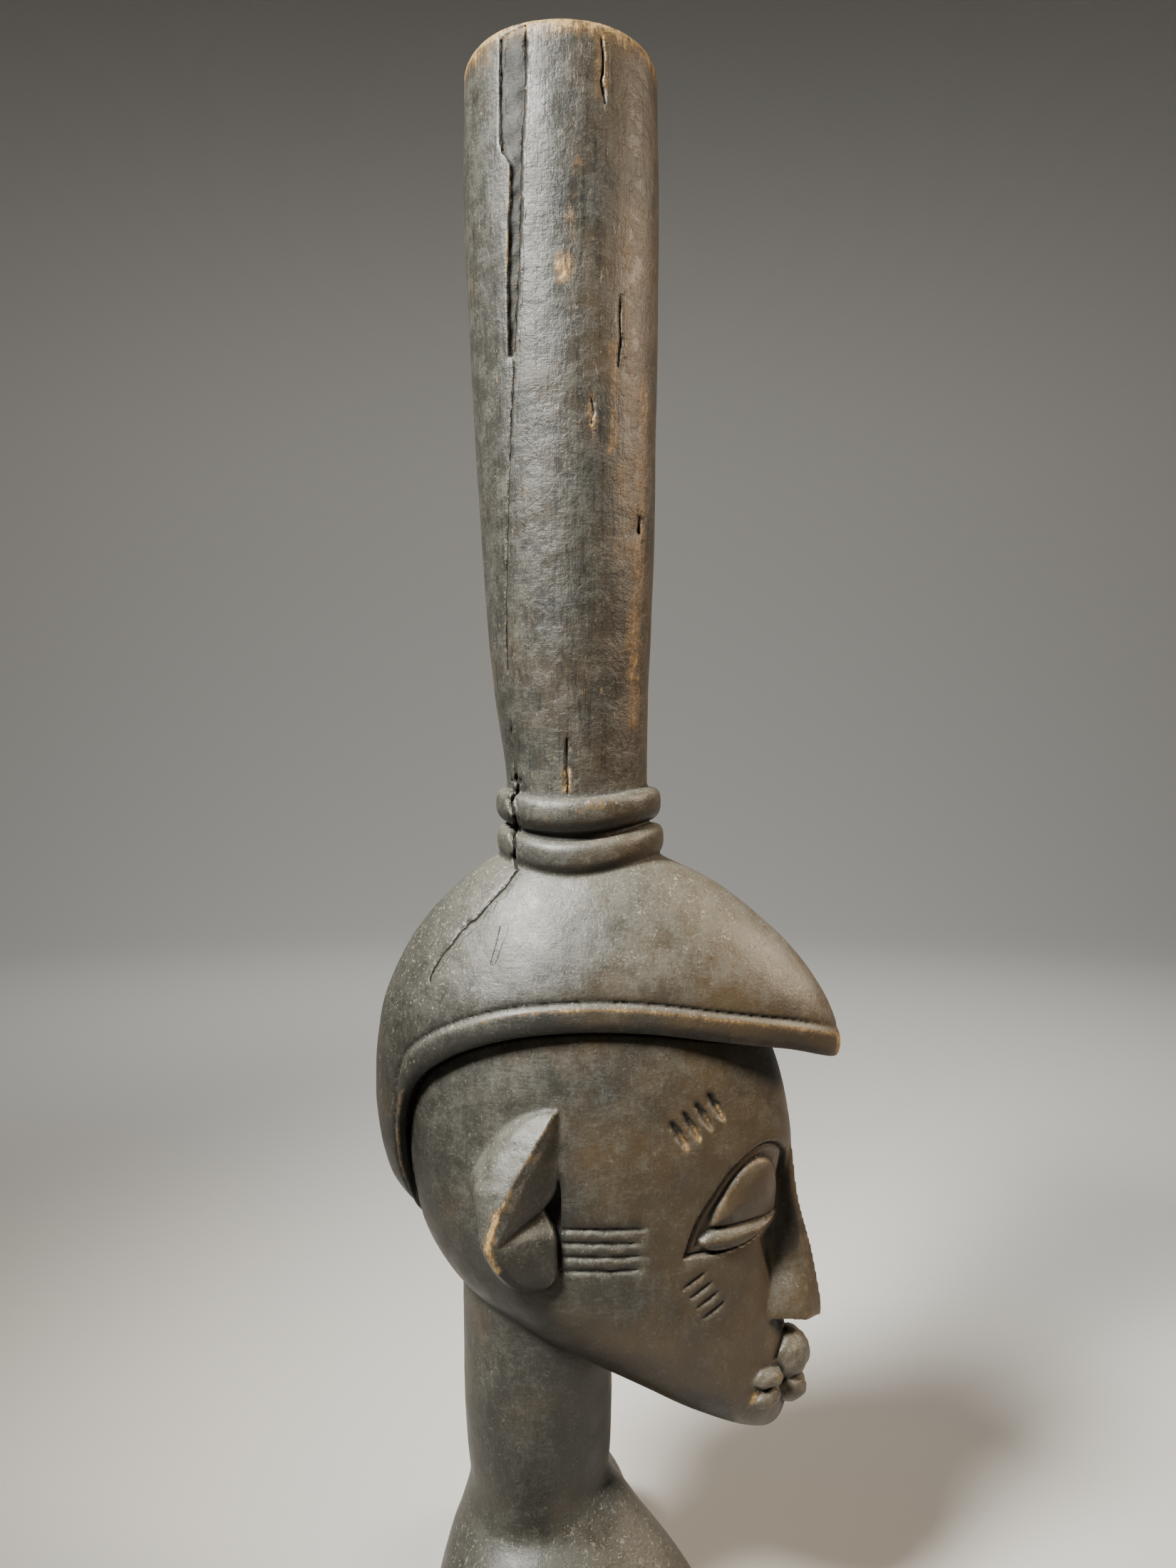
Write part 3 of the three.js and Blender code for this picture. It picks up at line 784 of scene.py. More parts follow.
def ear_slot(place):
    """What is cut out between the ears and the head, down to a little below the head's surface."""
    reach = 43.2 + 2.0 * ease(place.z, 195, 203) + 2.4 * ease(-place.z, -186, -172)
    return np.maximum(outline_distance(EAR_SLOT, place.y, place.z), reach - np.abs(place.x))


def chest_block(sizes):
    block = Block((-106, -92, -7), (106, 62, 92))
    chest = block.sample(distance_grid(*egg_loft(chest_line, 0, 73, 1.5)))
    chest = join(chest, shoulder_field(block), 5.0)
    chest = chest + sizes["unevenness"] * (0.9 * waves(block, 50, 14) + 0.3 * waves(block, 16, 15))
    body = join(chest, neck_field(block, sizes), 2.0)
    return block, np.maximum(body, -block.z)


def head_block(sizes):
    block = Block((-74, -132, 80), (74, 77, 356))
    rise = cap_rise(block)
    head = block.sample(distance_grid(*egg_loft(head_line, 98.5, 295, 1.5)))
    head = head + sizes["unevenness"] * (0.8 * waves(block, 50, 1) + 0.3 * waves(block, 16, 2))
    head = head + face_marks(block) + under_cap_gap(block, rise)
    face, where = block.part((-44, -112, 160), (44, -50, 224))
    head[where] += eye_depth(face)
    front, where = block.part((-20, -112, 138), (20, -74, 184))
    head[where] += strip_depth(front)

    nose = block.sample(distance_grid(*nose_loft()))
    head = join(head, nose, 1.2)
    mouth, where = block.part((-30, -116, 98), (30, -70, 142))
    head[where] = join(head[where], ellipsoid(mouth, **MUZZLE), 4.0)
    for lobe in LIP_LOBES:
        pad = ellipsoid(mouth, lobe["centre"], lobe["sizes"])
        pad = pad + sizes["unevenness"] * (1.4 * waves(mouth, 7, 11) + 0.9 * waves(mouth, 3.5, 10))
        head[where] = join(head[where], pad, lobe["blend"])
    away, _ = line_distance(smooth_path(LIP_LINE, 9), mouth.y, mouth.z)
    head[where] += 0.9 * ease(-away, -1.5, -0.2)
    head = cut(join(head, ear_field(block, sizes), 1.2), ear_slot(block), 0.5)
    head = join(head, cap_field(block, rise, sizes))
    head = join(head, neck_field(block, sizes), 1.8)
    return block, join(head, shaft_with_rings(block, sizes), 1.6)


def shaft_block(sizes):
    block = Block((-47, -57, 346), (47, 38, 634))
    return block, shaft_with_rings(block, sizes)


def box_blur(values, radius):
    """The mean over a cube of cells around each cell, along one axis after the other."""
    for axis in range(3):
        padding = [(0, 0)] * 3
        padding[axis] = (radius + 1, radius)
        total = np.cumsum(np.pad(values, padding, mode="edge"), axis=axis, dtype=np.float64)
        span = 2 * radius + 1
        high = np.take(total, np.arange(span, total.shape[axis]), axis=axis)
        low = np.take(total, np.arange(0, total.shape[axis] - span), axis=axis)
        values = ((high - low) / span).astype(np.float32)
    return values


def read_at(block, values, points):
    """Values of a block's cells at loose points, from the eight cells around each."""
    at = points / VOXEL - block.start
    low = np.clip(np.floor(at).astype(int), 0, np.array(block.shape) - 2)
    part = np.clip(at - low, 0, 1)
    found = 0.0
    for corner in range(8):
        step = np.array([corner & 1, corner >> 1 & 1, corner >> 2 & 1])
        weight = np.prod(np.where(step, part, 1 - part), axis=1)
        i, j, k = (low + step).T
        found = found + weight * values[i, j, k]
    return found


# Places worn down to lighter wood: the path they follow, how far they reach from it, and how far worn
WORN_PLACES = (
    ([(0, -48, 624), (-27, -36, 625), (-38, -9, 625), (-27, 18, 625), (0, 29, 625)], 7.5, 1.0),
    ([(0, -119, 247), (-2, -119, 239)], 7.5, 1.0),
    ([(-49, -15, 225), (-57, -7.5, 209), (-62, 0.5, 193)], 4, 0.35),
    ([(-62, 2.5, 195), (-64, 4.9, 184), (-61, 2.6, 175)], 2.2, 1.0),
    ([(-36.7, -19.5, 537), (-36.7, -16.5, 533)], 4.8, 1.05),
    ([(-36, -22, 572), (-37, -19, 548)], 4, 0.45),
    ([(-22, -39, 560), (-22, -38, 430)], 7, 0.5),
    ([(-28, -34, 508), (-27, -34, 470)], 3, 0.7),
    ([(-14, -43, 500), (-16, -41, 400), (-13, -39, 368)], 6, 0.72),
    ([(-32.4, -26.7, 486), (-31.8, -26.9, 477)], 2.4, 0.9),
    ([(-28.5, -17, 350), (-28, -16.5, 343)], 2.2, 1.0),
    ([(-33, -30, 622), (-32, -32, 600)], 4, 0.75),
    ([(-27, -33, 338), (-32, -22, 336)], 3, 0.5),
    ([(-3, -109, 143), (-6, -105, 141)], 3.5, 0.6),
    ([(-1, -99, 212), (-2, -102, 184), (-2.5, -107.5, 160), (-3, -109, 148)], 3.4, 0.4),
    ([(0, -105, 122), (-5, -103, 118)], 3.5, 0.5),
    ([(-17, -92, 121.5), (-9, -96, 120)], 1.8, 0.9),
    ([(-20, -82.5, 113.5), (-19.5, -87, 118.4)], 1.6, 1.1),
    ([(-19, -88, 111.8), (-13, -93.5, 113)], 1.6, 0.8),
    ([(-37, -70.5, 204), (-38, -68, 196)], 3, 0.75),
)


def worn_places(place):
    """How far worn a place is by the hands and the knocks listed above, 0 to 1, with ragged borders."""
    strongest = 0.0
    ragged = 0.3 * waves(place, 4.5, 21) + 0.3 * waves(place, 1.7, 22)
    right = -np.abs(place.x)
    for path, reach, strength in WORN_PLACES:
        x = place.x if path[0][2] > SHAFT_FOOT and reach < 6 else right
        nearest = np.inf
        for a, b in zip(np.array(path[:-1], float), np.array(path[1:], float)):
            run = b - a
            off = (x - a[0], place.y - a[1], place.z - a[2])
            t = np.clip(sum(o * r for o, r in zip(off, run)) / (run @ run), 0, 1)
            nearest = np.minimum(nearest, np.sqrt(sum((o - t * r) ** 2 for o, r in zip(off, run))))
        strongest = np.maximum(strongest, strength * np.clip(1.35 - nearest / reach + ragged, 0, 1))
    return strongest


def worn_carving(place, sizes):
    """Wear along the band's crown, the ear's crest, the ends of the brow cuts and the margin of the lid."""
    rise = cap_rise(place)
    crown = np.exp(-(((rise - 0.85 * band_width_at(place, sizes)) / 1.1) ** 2)) * ease(-place.y, -50, 20)
    heights = np.linspace(186, 226, 12)
    out, rim, _ = ear_line(heights)
    away, _ = line_distance(np.column_stack([rim, heights]), place.y, place.z)
    crest = (1.2 - 0.5 * ease(place.z, 190, 204)) * np.clip(1.2 - away / 0.9, 0, 1) * (np.abs(place.x) > 48)
    ends = 0.0
    start, end, step = BROW_CUTS["start"], BROW_CUTS["end"], BROW_CUTS["step"]
    for k in range(4):
        a, b = (
            [share * first + (1 - share) * last + k * by for first, last, by in zip(start, end, step)]
            for share in (0.45, 0.0)
        )
        away, _ = line_distance([a, b], place.y, place.z)
        ends = np.maximum(ends, 0.7 * np.clip(1.4 - away / 1.3, 0, 1) * (np.abs(place.x) > 5))
    along, up = eye_plane(place)
    lid = curve_distance(UPPER_LID, 50, along, up)
    margin = 0.5 * ease(-lid, 0, 0.5) * ease(lid, -3.4, -1.4) * (place.y < -55) * (np.abs(place.x) > 8)
    return deepest(0.75 * crown * (place.z > 170), crest, ends, margin)


def dusty_slopes(place):
    """Dust lies on the slope below each of the cuts before the ear."""
    found = 0.0
    for k in range(4):
        drop = k * TEMPLE_CUTS["step"][1]
        a, b = ((TEMPLE_CUTS[end][0], TEMPLE_CUTS[end][1] + drop) for end in ("start", "end"))
        side, _ = line_side([a, b], place.y, place.z)
        found = np.maximum(found, ease(side, 0.3, 0.9) * ease(-side, -2.5, -1.4))
    return found * (np.abs(place.x) > 30)


def shade_under_band(place):
    """Painted shade: the lower half of the band, the gap below it and the corner before the ear, where the
    ear's shadow falls, are darkened.
    """
    rise = cap_rise(place)
    band = 0.6 * ease(rise, -2.5, -0.5) * ease(-rise, -6.5, -1.0) * (place.z > 168)
    away, _ = line_distance([(-17.6, 204), (-18.0, 169)], place.y, place.z)
    return np.maximum(band, 0.9 * ease(-away, -2.6, -1.0) * (np.abs(place.x) > 40) * (np.abs(place.x) < 50))


# The corner between the nose and the eye that is painted dark as shade, in side view
NOSE_SHADE = [
    (-95, 206), (-98.5, 206), (-101, 190), (-103.5, 174), (-103, 167), (-97, 162), (-93, 162),
    (-92, 180),
]


def shade_beside_nose(place):
    """Painted shade, with some dark patina, in the corner behind the nose's ridge."""
    inside = -curve_distance(NOSE_SHADE, 30, place.y, place.z)
    return 0.85 * ease(inside, -1.2, 2.0) * (np.abs(place.x) < 16)


def dust_and_highlight_on_lips(place):
    """The lips stand proud and catch more dust than the chin, and their paler lobes are also a painted
    highlight.
    """
    nearest = np.inf
    for lobe in LIP_LOBES:
        nearest = np.minimum(nearest, ellipsoid(place, lobe["centre"], lobe["sizes"]))
    return 0.8 * ease(-nearest, -1.6, -0.6) * (place.y < LIPS_BACK) * (place.z < 138) * (place.z > 108)


def cracks(place):
    """How far inside a crack or split a place lies, 0 to 1, on the right side only."""
    floor = 0.85 * ease(split_depth(place), 0.25, 0.9) * (place.z > SPLIT_FOOT)
    crack = split_depth(place) / 3.4 - 0.25
    inside = deepest(crack, floor, shaft_cracks(place) / 1.4, 0.5 * ring_crack_depth(place))
    return np.clip(inside, 0, 1) * (place.x < 0)


def jagged(path, seed, spacing=1.3, wander=0.32):
    """The path as the grain tears it: short straight stretches that wander from side to side."""
    path = np.array(path, dtype=float)
    lengths = np.hypot(*np.diff(path, axis=0).T)
    at = np.concatenate([[0], np.cumsum(lengths)])
    count = max(int(at[-1] / spacing), 2)
    where = np.linspace(0, at[-1], count + 1)
    rng = np.random.default_rng(seed)
    aside = rng.uniform(-wander, wander, (count + 1, 2))
    return np.column_stack([np.interp(where, at, path[:, k]) for k in range(2)]) + aside


# Cracks that are drawn finer than the mesh can cut them: path and half width
FINE_CRACKS = (
    (CAP_CRACK, 0.34),
    (CAP_HAIRLINE, 0.14),
    (RING_CRACK, 0.55),
    (SPLIT, 0.4),
    (SPLINTER[:4], 0.22),
    (SPLIT_TAIL, 0.3),
    (SPLIT_END, 0.3),
    *((path, 0.26) for path, width, depth in SHAFT_CRACKS),
)


def fine_cracks(place):
    """Signed distance to the nearest fine crack, in its half widths, and 1 beside a crack but 0 elsewhere."""
    side = np.full(len(place.x), 9.0)
    near = np.zeros(len(place.x))
    for seed, (path, half) in enumerate(FINE_CRACKS):
        signed, along = line_side(jagged(path, 40 + seed), place.y, place.z)
        beside = ease(2.6 - np.abs(signed), 0, 1.2) * ease(along, 0.0, 0.03) * ease(1 - along, 0.0, 0.03)
        closer = beside > near
        side = np.where(closer, np.clip(signed / half, -9, 9), side)
        near = np.maximum(near, beside)
    return side, near * (place.x < 0)


def surface_amounts(blocks, points, sizes):
    """Amounts for each vertex: rubbed edges, dirt and painted shade in hollows, dust on what faces up, and
    fine cracks.

    The dust amount is below zero on what faces down, where it paints shade.
    """
    wear, dirt_and_shade_amount, dust_and_underside_shade = (np.zeros(len(points)) for _ in range(3))
    for block, field in blocks:
        low, high = (block.start + 8) * VOXEL, (block.stop - 8) * VOXEL
        inside = np.all((points > low) & (points < high), axis=1)
        fine = box_blur(field, round(1.4 / VOXEL)) - field
        broad = box_blur(field, round(3.5 / VOXEL)) - field
        bulge = read_at(block, 1.6 * fine + 0.7 * broad, points[inside])
        wear[inside] = 0.5 * np.clip((bulge - 0.25) / 1.1, 0, 1)
        # Hollows are darkened: some dirt, and painted shade where cuts and creases fall into shadow
        dirt_and_shade_amount[inside] = np.clip((-bulge - 0.12) / 0.9, 0, 1)
        step = np.array([0, 0, 2 * VOXEL])
        rise = read_at(block, field, points[inside] + step) - read_at(block, field, points[inside] - step)
        rise = rise / (4 * VOXEL)
        # Dust where the surface faces up; below zero where it faces down, which paints shade there
        dust_and_underside_shade[inside] = ease(rise, -0.15, 0.75) - 0.8 * ease(-rise, 0.05, 0.5)
    place = Points(points)
    on_slopes = dusty_slopes(place) - 0.8 * (dust_and_underside_shade < 0)
    dust_and_underside_shade = deepest(dust_and_underside_shade, on_slopes, dust_and_highlight_on_lips(place) - 1.0 * (points[:, 1] > LIPS_BACK))
    crack, near = fine_cracks(place)
    wear = deepest(wear * (1 - 0.8 * near), worn_places(place), worn_carving(place, sizes))
    rubbed = np.clip(wear * ease(place.z, 205, 215) * (place.z < 240), 0, 1)
    # Cracks are dark in their own right; the band's underside and the corner beside the nose are painted
    # shade
    held = (0.9 * cracks(place), shade_under_band(place), shade_beside_nose(place))
    dirt_and_shade_amount = deepest(dirt_and_shade_amount * (1 - rubbed), *held)
    return {"wear": wear, "dirt_and_shade_amount": dirt_and_shade_amount, "dust_and_underside_shade": dust_and_underside_shade, "crack": crack, "crack_near": near}


def carve(sizes):
    """The whole carving as one surface: points in millimetres from the neck's axis, and its faces."""
    blocks = [chest_block(sizes), head_block(sizes), shaft_block(sizes)]
    whole = vdb.FloatGrid(NEAR * VOXEL)
    whole.transform = vdb.createLinearTransform(voxelSize=VOXEL)
    for block, field in blocks:
        field = np.clip(field, -NEAR * VOXEL, NEAR * VOXEL).astype(np.float32)
        whole.copyFromArray(field, ijk=tuple(int(v) for v in block.start))
    points, triangles, quads = whole.convertToPolygons(isovalue=0.0, adaptivity=0.0)
    return blocks, points, triangles, quads


def mesh_from(name, points, triangles, quads):
    mesh = bpy.data.meshes.new(name)
    corners = np.concatenate([triangles.ravel(), quads.ravel()]).astype(np.int32)
    sizes = np.concatenate([np.full(len(triangles), 3), np.full(len(quads), 4)])
    mesh.vertices.add(len(points))
    mesh.vertices.foreach_set("co", points.astype(np.float32).ravel())
    mesh.loops.add(len(corners))
    mesh.loops.foreach_set("vertex_index", corners)
    mesh.polygons.add(len(sizes))
    mesh.polygons.foreach_set("loop_start", np.concatenate([[0], np.cumsum(sizes)[:-1]]).astype(np.int32))
    mesh.update(calc_edges=True)
    mesh.validate()
    return mesh


MOST_TRIANGLES = 190_000


def thinned(piece):
    """The piece's mesh with fewer triangles: large where the wood is plain, small at the detail."""
    count = sum(len(p.vertices) - 2 for p in piece.data.polygons)
    if count > MOST_TRIANGLES:
        modifier = piece.modifiers.new("Thin", "DECIMATE")
        modifier.ratio = MOST_TRIANGLES / count
        modifier.use_collapse_triangulate = True
        bpy.context.view_layer.update()
        evaluated = piece.evaluated_get(bpy.context.evaluated_depsgraph_get())
        mesh = bpy.data.meshes.new_from_object(evaluated)
        piece.modifiers.clear()
        piece.data = mesh
    return piece.data


# Finishes


def linear(colour):
    """An sRGB hex colour, such as 0x3a322b, as linear red, green, blue and alpha."""
    parts = [(colour >> shift & 255) / 255 for shift in (16, 8, 0)]
    return (*(v / 12.92 if v <= 0.04045 else ((v + 0.055) / 1.055) ** 2.4 for v in parts), 1.0)


def add(tree, kind, inputs=None, **settings):
    """Adds a node with its settings; an input is a value, or another node's output to link."""
    node = tree.nodes.new(kind)
    node.location = (200 * (len(tree.nodes) % 12), -240 * (len(tree.nodes) // 12))
    for name, value in settings.items():
        setattr(node, name, value)
    for key, value in (inputs or {}).items():
        if isinstance(value, bpy.types.NodeSocket):
            tree.links.new(value, node.inputs[key])
        else:
            node.inputs[key].default_value = value
    return node


def scale_of(size):
    """Texture scale, in turns for each metre, that gives a pattern of this size in millimetres."""
    return 1000 / size


def patinated_hardwood(colours, sizes):
    """Dense hardwood, adze-carved, blackened by smoke and oil and polished by hands over many years.

    The eye sees a dark grey-brown skin with a dull wax sheen, paler where dust has settled on it, fine grain
    up the shaft, tan wood where edges are rubbed through, and dry brown dirt in the cuts with painted shade
    over it.
    Painted shade also darkens the back of the head, the neck and what faces down, and the front is painted
    browner where the warm lamp falls.
    """
    material = bpy.data.materials.new("smoke_patinated_carved_hardwood")
    material.use_nodes = True
    tree = material.node_tree
    tree.nodes.clear()
    where = add(tree, "ShaderNodeTexCoord").outputs["Object"]
    sides = add(tree, "ShaderNodeSeparateXYZ", {"Vector": where})
    height = sides.outputs["Z"]
    wear = add(tree, "ShaderNodeAttribute", attribute_name="wear").outputs["Fac"]
    dirt_and_shade_amount = add(tree, "ShaderNodeAttribute", attribute_name="dirt_and_shade_amount").outputs["Fac"]
    dust_and_underside_shade = add(tree, "ShaderNodeAttribute", attribute_name="dust_and_underside_shade").outputs["Fac"]

    def noise(size, detail=4.0, stretch=(1, 1, 1), turn=(0, 0, 0), roughness=0.55):
        at = where
        if stretch != (1, 1, 1):
            mapping = {"Vector": where, "Scale": stretch, "Rotation": [math.radians(a) for a in turn]}
            at = add(tree, "ShaderNodeMapping", mapping).outputs["Vector"]
        inputs = {"Vector": at, "Scale": scale_of(size), "Detail": detail, "Roughness": roughness}
        return add(tree, "ShaderNodeTexNoise", inputs).outputs["Fac"]

    def spread(value, low, high, to_low=0.0, to_high=1.0):
        inputs = {"Value": value, "From Min": low, "From Max": high, "To Min": to_low, "To Max": to_high}
        made = add(tree, "ShaderNodeMapRange", inputs, interpolation_type="SMOOTHSTEP")
        return made.outputs["Result"]

    def sums(kind, a, b):
        return add(tree, "ShaderNodeMath", {0: a, 1: b}, operation=kind).outputs["Value"]

    def total(*terms):
        """The sum of outputs, each with its weight."""
        made = sums("MULTIPLY", *terms[0])
        for term in terms[1:]:
            made = sums("ADD", made, sums("MULTIPLY", *term))
        return made

    def mixed(amount, a, b):
        return add(tree, "ShaderNodeMix", {0: amount, 6: a, 7: b}, data_type="RGBA").outputs[2]

    def product(*factors):
        made = factors[0]
        for factor in factors[1:]:
            made = sums("MULTIPLY", made, factor)
        return made

    def size_of(value):
        return sums("ABSOLUTE", value, 0.0)

    def lines(value, width):
        """Thin lines along which a noise is at its mean."""
        return spread(size_of(sums("SUBTRACT", value, 0.5)), 0.3 * width, width, 1, 0)

    def mostly_shaft(value, least):
        """The value as it is on the shaft, and the least share of it elsewhere."""
        return sums("MULTIPLY", value, spread(on_shaft, 0, 1, least, 1.0))

    on_shaft = spread(height, 0.325, 0.35)
    facing_warm_lamp = spread(sides.outputs["Y"], 0.035, -0.07)
    grain = noise(sizes.grain_spacing * 1000, 5.0, (1, 1, 0.035), roughness=0.65)
    fibres = noise(1.2, 4.0, (1, 1, 0.16), roughness=0.65)
    mottle = noise(34, 5.0)
    patches = noise(8, 6.0, roughness=0.66)
    clumps = noise(5, 4.0, roughness=0.6)
    speckle = noise(1.2, 3.0, roughness=0.7)
    # Fine scratches from rasping and rubbing, in three directions, drawn about half a millimetre wide
    scratches = noise(0.9, 3.0, (1, 0.08, 1), (38, 0, 0), 0.6)
    scratches = sums("MAXIMUM", scratches, noise(1.0, 3.0, (1, 1, 0.09), (24, 12, 0), 0.6))
    scratches = sums("MAXIMUM", scratches, noise(0.8, 2.0, (1, 0.1, 1), (-28, 0, 15), 0.6))

    # Painted warm light: the front, which faces the warm lamp, is painted browner and less grey than the
    # back, over the wood's own mottled tone
    warmth = total((mottle, 0.9), (facing_warm_lamp, 0.35))
    skin = mixed(spread(warmth, 0.42, 0.85), linear(colours.patina_hex), linear(colours.warm_patina_and_light_hex))
    streaks = product(spread(grain, 0.48, 0.68), spread(on_shaft, 0, 1, 0.08, 0.75))
    skin = mixed(streaks, skin, linear(colours.deep_grain_and_shade_hex))
    # Dust greys the skin where it faces up and in patches; the front stays less grey as part of the painted
    # warm light
    dusty = total((dust_and_underside_shade, 0.48), (patches, 1.1), (scratches, 0.8), (speckle, 0.6), (facing_warm_lamp, -0.15))
    skin = mixed(spread(dusty, 1.1, 1.95, 0, 0.85), skin, linear(colours.dust_hex))
    pits = product(spread(speckle, 0.36, 0.3), spread(clumps, 0.44, 0.56))
    skin = mixed(sums("MULTIPLY", pits, 0.6), skin, linear(colours.deep_grain_and_shade_hex))
    # Painted shade: the back of the head and the neck are darkened towards the grain's colour
    back = product(spread(sides.outputs["Y"], 0.03, 0.065), spread(height, 0.335, 0.31))
    skin = mixed(sums("MULTIPLY", back, 0.55), skin, linear(colours.deep_grain_and_shade_hex))
    # Painted shade: what faces down, and what lies below the chin, is darkened
    shaded = total((spread(dust_and_underside_shade, -0.1, -0.7), 0.6), (spread(height, 0.125, 0.1), 0.3))
    skin = mixed(shaded, skin, linear(colours.deep_grain_and_shade_hex))

    ragged = total((patches, 0.45), (fibres, 0.35), (speckle, 0.2))
    rubbed = sums("ADD", wear, sums("MULTIPLY", sums("SUBTRACT", ragged, 0.5), 3.2))
    colour = mixed(spread(rubbed, 0.3, 0.72, 0, 0.85), skin, linear(colours.rubbed_hex))
    colour = mixed(spread(rubbed, 0.68, 1.15, 0, 0.92), colour, linear(colours.bare_hex))

    # Splinters no longer than a few millimetres have come off along the grain and left tan wood
    flakes = product(spread(fibres, 0.6, 0.68), spread(clumps, 0.5, 0.6), spread(on_shaft, 0, 1, 0.1, 0.75))
    colour = mixed(flakes, colour, linear(colours.rubbed_hex))
    colour = mixed(product(flakes, spread(speckle, 0.5, 0.6), 0.7), colour, linear(colours.bare_hex))

    # Dirt and painted shade: cuts, hollows, cracks, the band's underside and the corners by the ear and the
    # nose go dark
    soiled_and_shaded = sums("ADD", dirt_and_shade_amount, sums("MULTIPLY", sums("SUBTRACT", patches, 0.5), 0.5))
    colour = mixed(spread(soiled_and_shaded, 0.3, 1.0, 0, 0.8), colour, linear(colours.dirt_and_shade_hex))

    # Dust that has stuck to the wax: pale grains under a millimetre across, thickest where it settles
    thick = total((clumps, 0.8), (dust_and_underside_shade, 0.3), (facing_warm_lamp, -0.12))
    grains = product(spread(noise(0.95, 2.0, roughness=0.6), 0.62, 0.7), spread(thick, 0.4, 0.62, 0.12, 1.0))
    # Short curled scratches show pale too
    curls = product(lines(noise(4.5, 3.0), 0.028), spread(noise(2.6, 1.0), 0.54, 0.64))
    curls = product(curls, spread(thick, 0.42, 0.78, 0.12, 0.9))
    grains = sums("MAXIMUM", grains, curls)
    colour = mixed(sums("MULTIPLY", grains, 0.38), colour, linear(colours.fleck_hex))

    crack = add(tree, "ShaderNodeAttribute", attribute_name="crack").outputs["Fac"]
    beside = add(tree, "ShaderNodeAttribute", attribute_name="crack_near").outputs["Fac"]
    width = spread(noise(7.0, 4.0), 0.32, 0.66, 0.4, 1.3)
    across = sums("DIVIDE", size_of(crack), width)
    chips = product(spread(size_of(crack), 2.2, 4.5, 1, 0), spread(noise(1.8, 2.0), 0.54, 0.64), beside)
    colour = mixed(sums("MULTIPLY", chips, 0.45), colour, linear(colours.rubbed_hex))
    opening = product(spread(across, 0.7, 1.25, 1, 0), beside)
    colour = mixed(opening, colour, linear(colours.deep_grain_and_shade_hex))

    sheen = spread(patches, 0.3, 0.75, 0.4, 0.55)
    roughness = total((sheen, 1.0), (dirt_and_shade_amount, 0.3), (grains, 0.2), (opening, 0.4))

    # Heights in millimetres. The blade left shallow hollows, and fine ripples across the shaft's grain
    inputs = {"Vector": where, "Scale": scale_of(13), "Smoothness": 0.4}
    hollows = add(tree, "ShaderNodeTexVoronoi", inputs, feature="SMOOTH_F1")
    ripples = product(noise(2.2, 3.0, (0.2, 0.2, 1.0), (14, 0, 0), 0.6), spread(patches, 0.42, 0.6))
    relief = total(
        (hollows.outputs["Distance"], 0.5),
        (mostly_shaft(grain, 0.2), 0.1),
        (mostly_shaft(fibres, 0.2), 0.16),
        (opening, -0.6),
        (chips, -0.15),
        (flakes, -0.12),
        (mostly_shaft(ripples, 0.35), 0.22),
        (speckle, 0.08),
        (pits, -0.06),
        (scratches, 0.12),
        (patches, 0.3),
        (grains, 0.04),
    )
    bump = add(tree, "ShaderNodeBump", {"Height": relief, "Strength": 0.9, "Distance": 0.001})

    inputs = {"Base Color": colour, "Roughness": roughness, "Normal": bump.outputs["Normal"], "IOR": 1.5}
    shader = add(tree, "ShaderNodeBsdfPrincipled", inputs)
    add(tree, "ShaderNodeOutputMaterial", {"Surface": shader.outputs["BSDF"]})
    return material


def studio_floor(colours):
    """A matt painted floor: pale, even, and without a pattern."""
    material = bpy.data.materials.new("matt_painted_studio_floor")
    material.use_nodes = True
    shader = material.node_tree.nodes["Principled BSDF"]
    shader.inputs["Base Color"].default_value = linear(colours.floor_hex)
    shader.inputs["Roughness"].default_value = 0.85
    return material


# Add-on classes


def length(name, description, millimetres):
    return FloatProperty(name=name, description=description, default=millimetres / 1000, unit="LENGTH")


def hex_colour(name, description, default):
    return IntProperty(name=name, description=description, default=default, min=0, max=0xFFFFFF)


class CarvingSizes(bpy.types.PropertyGroup):
    """Sizes of the carving that a carver would choose."""

    band_width: length("Band width", "Width of the rolled band along the cap's edge", 9.4)
    groove_width: length("Groove width", "Width of the cut line above the band", 1.6)
    groove_depth: length("Groove depth", "Depth of the cut line above the band", 0.9)
    unevenness: length("Unevenness", "How far the hand-cut surface wanders from true", 0.4)
    grain_spacing: length("Grain spacing", "Distance between the streaks of the grain", 1.8)


class CarvingColours(bpy.types.PropertyGroup):
    """Colours of the wood, its wear and its dirt, as sRGB hex values."""

    patina_hex: hex_colour("Patina", "The smoke-dark skin", 0x2F2E2A)
    # The warm patina is partly the wood's brown and partly a painted warm light on the front
    warm_patina_and_light_hex: hex_colour("Warm patina", "The browner parts of the skin", 0x4A3D2B)
    # The grain's dark colour also paints shade on the back of the head, the neck and what faces down
    deep_grain_and_shade_hex: hex_colour("Grain", "Dark streaks of the grain", 0x171510)
    dust_hex: hex_colour("Dusty patina", "Greyer parts where dust sticks to the wax", 0x605E55)
    rubbed_hex: hex_colour("Rubbed wood", "Edges where hands have thinned the skin", 0x614C31)
    bare_hex: hex_colour("Bare wood", "Edges worn through to the wood", 0xAE8F5E)
    # The dirt colour also paints shade in hollows, under the band and beside the nose
    dirt_and_shade_hex: hex_colour("Dirt", "Dry dirt in cuts and cracks", 0x15110C)
    fleck_hex: hex_colour("Dust grains", "Single pale grains of dust", 0xB8B3A0)
    floor_hex: hex_colour("Floor", "The studio floor", 0xC8C5BF)


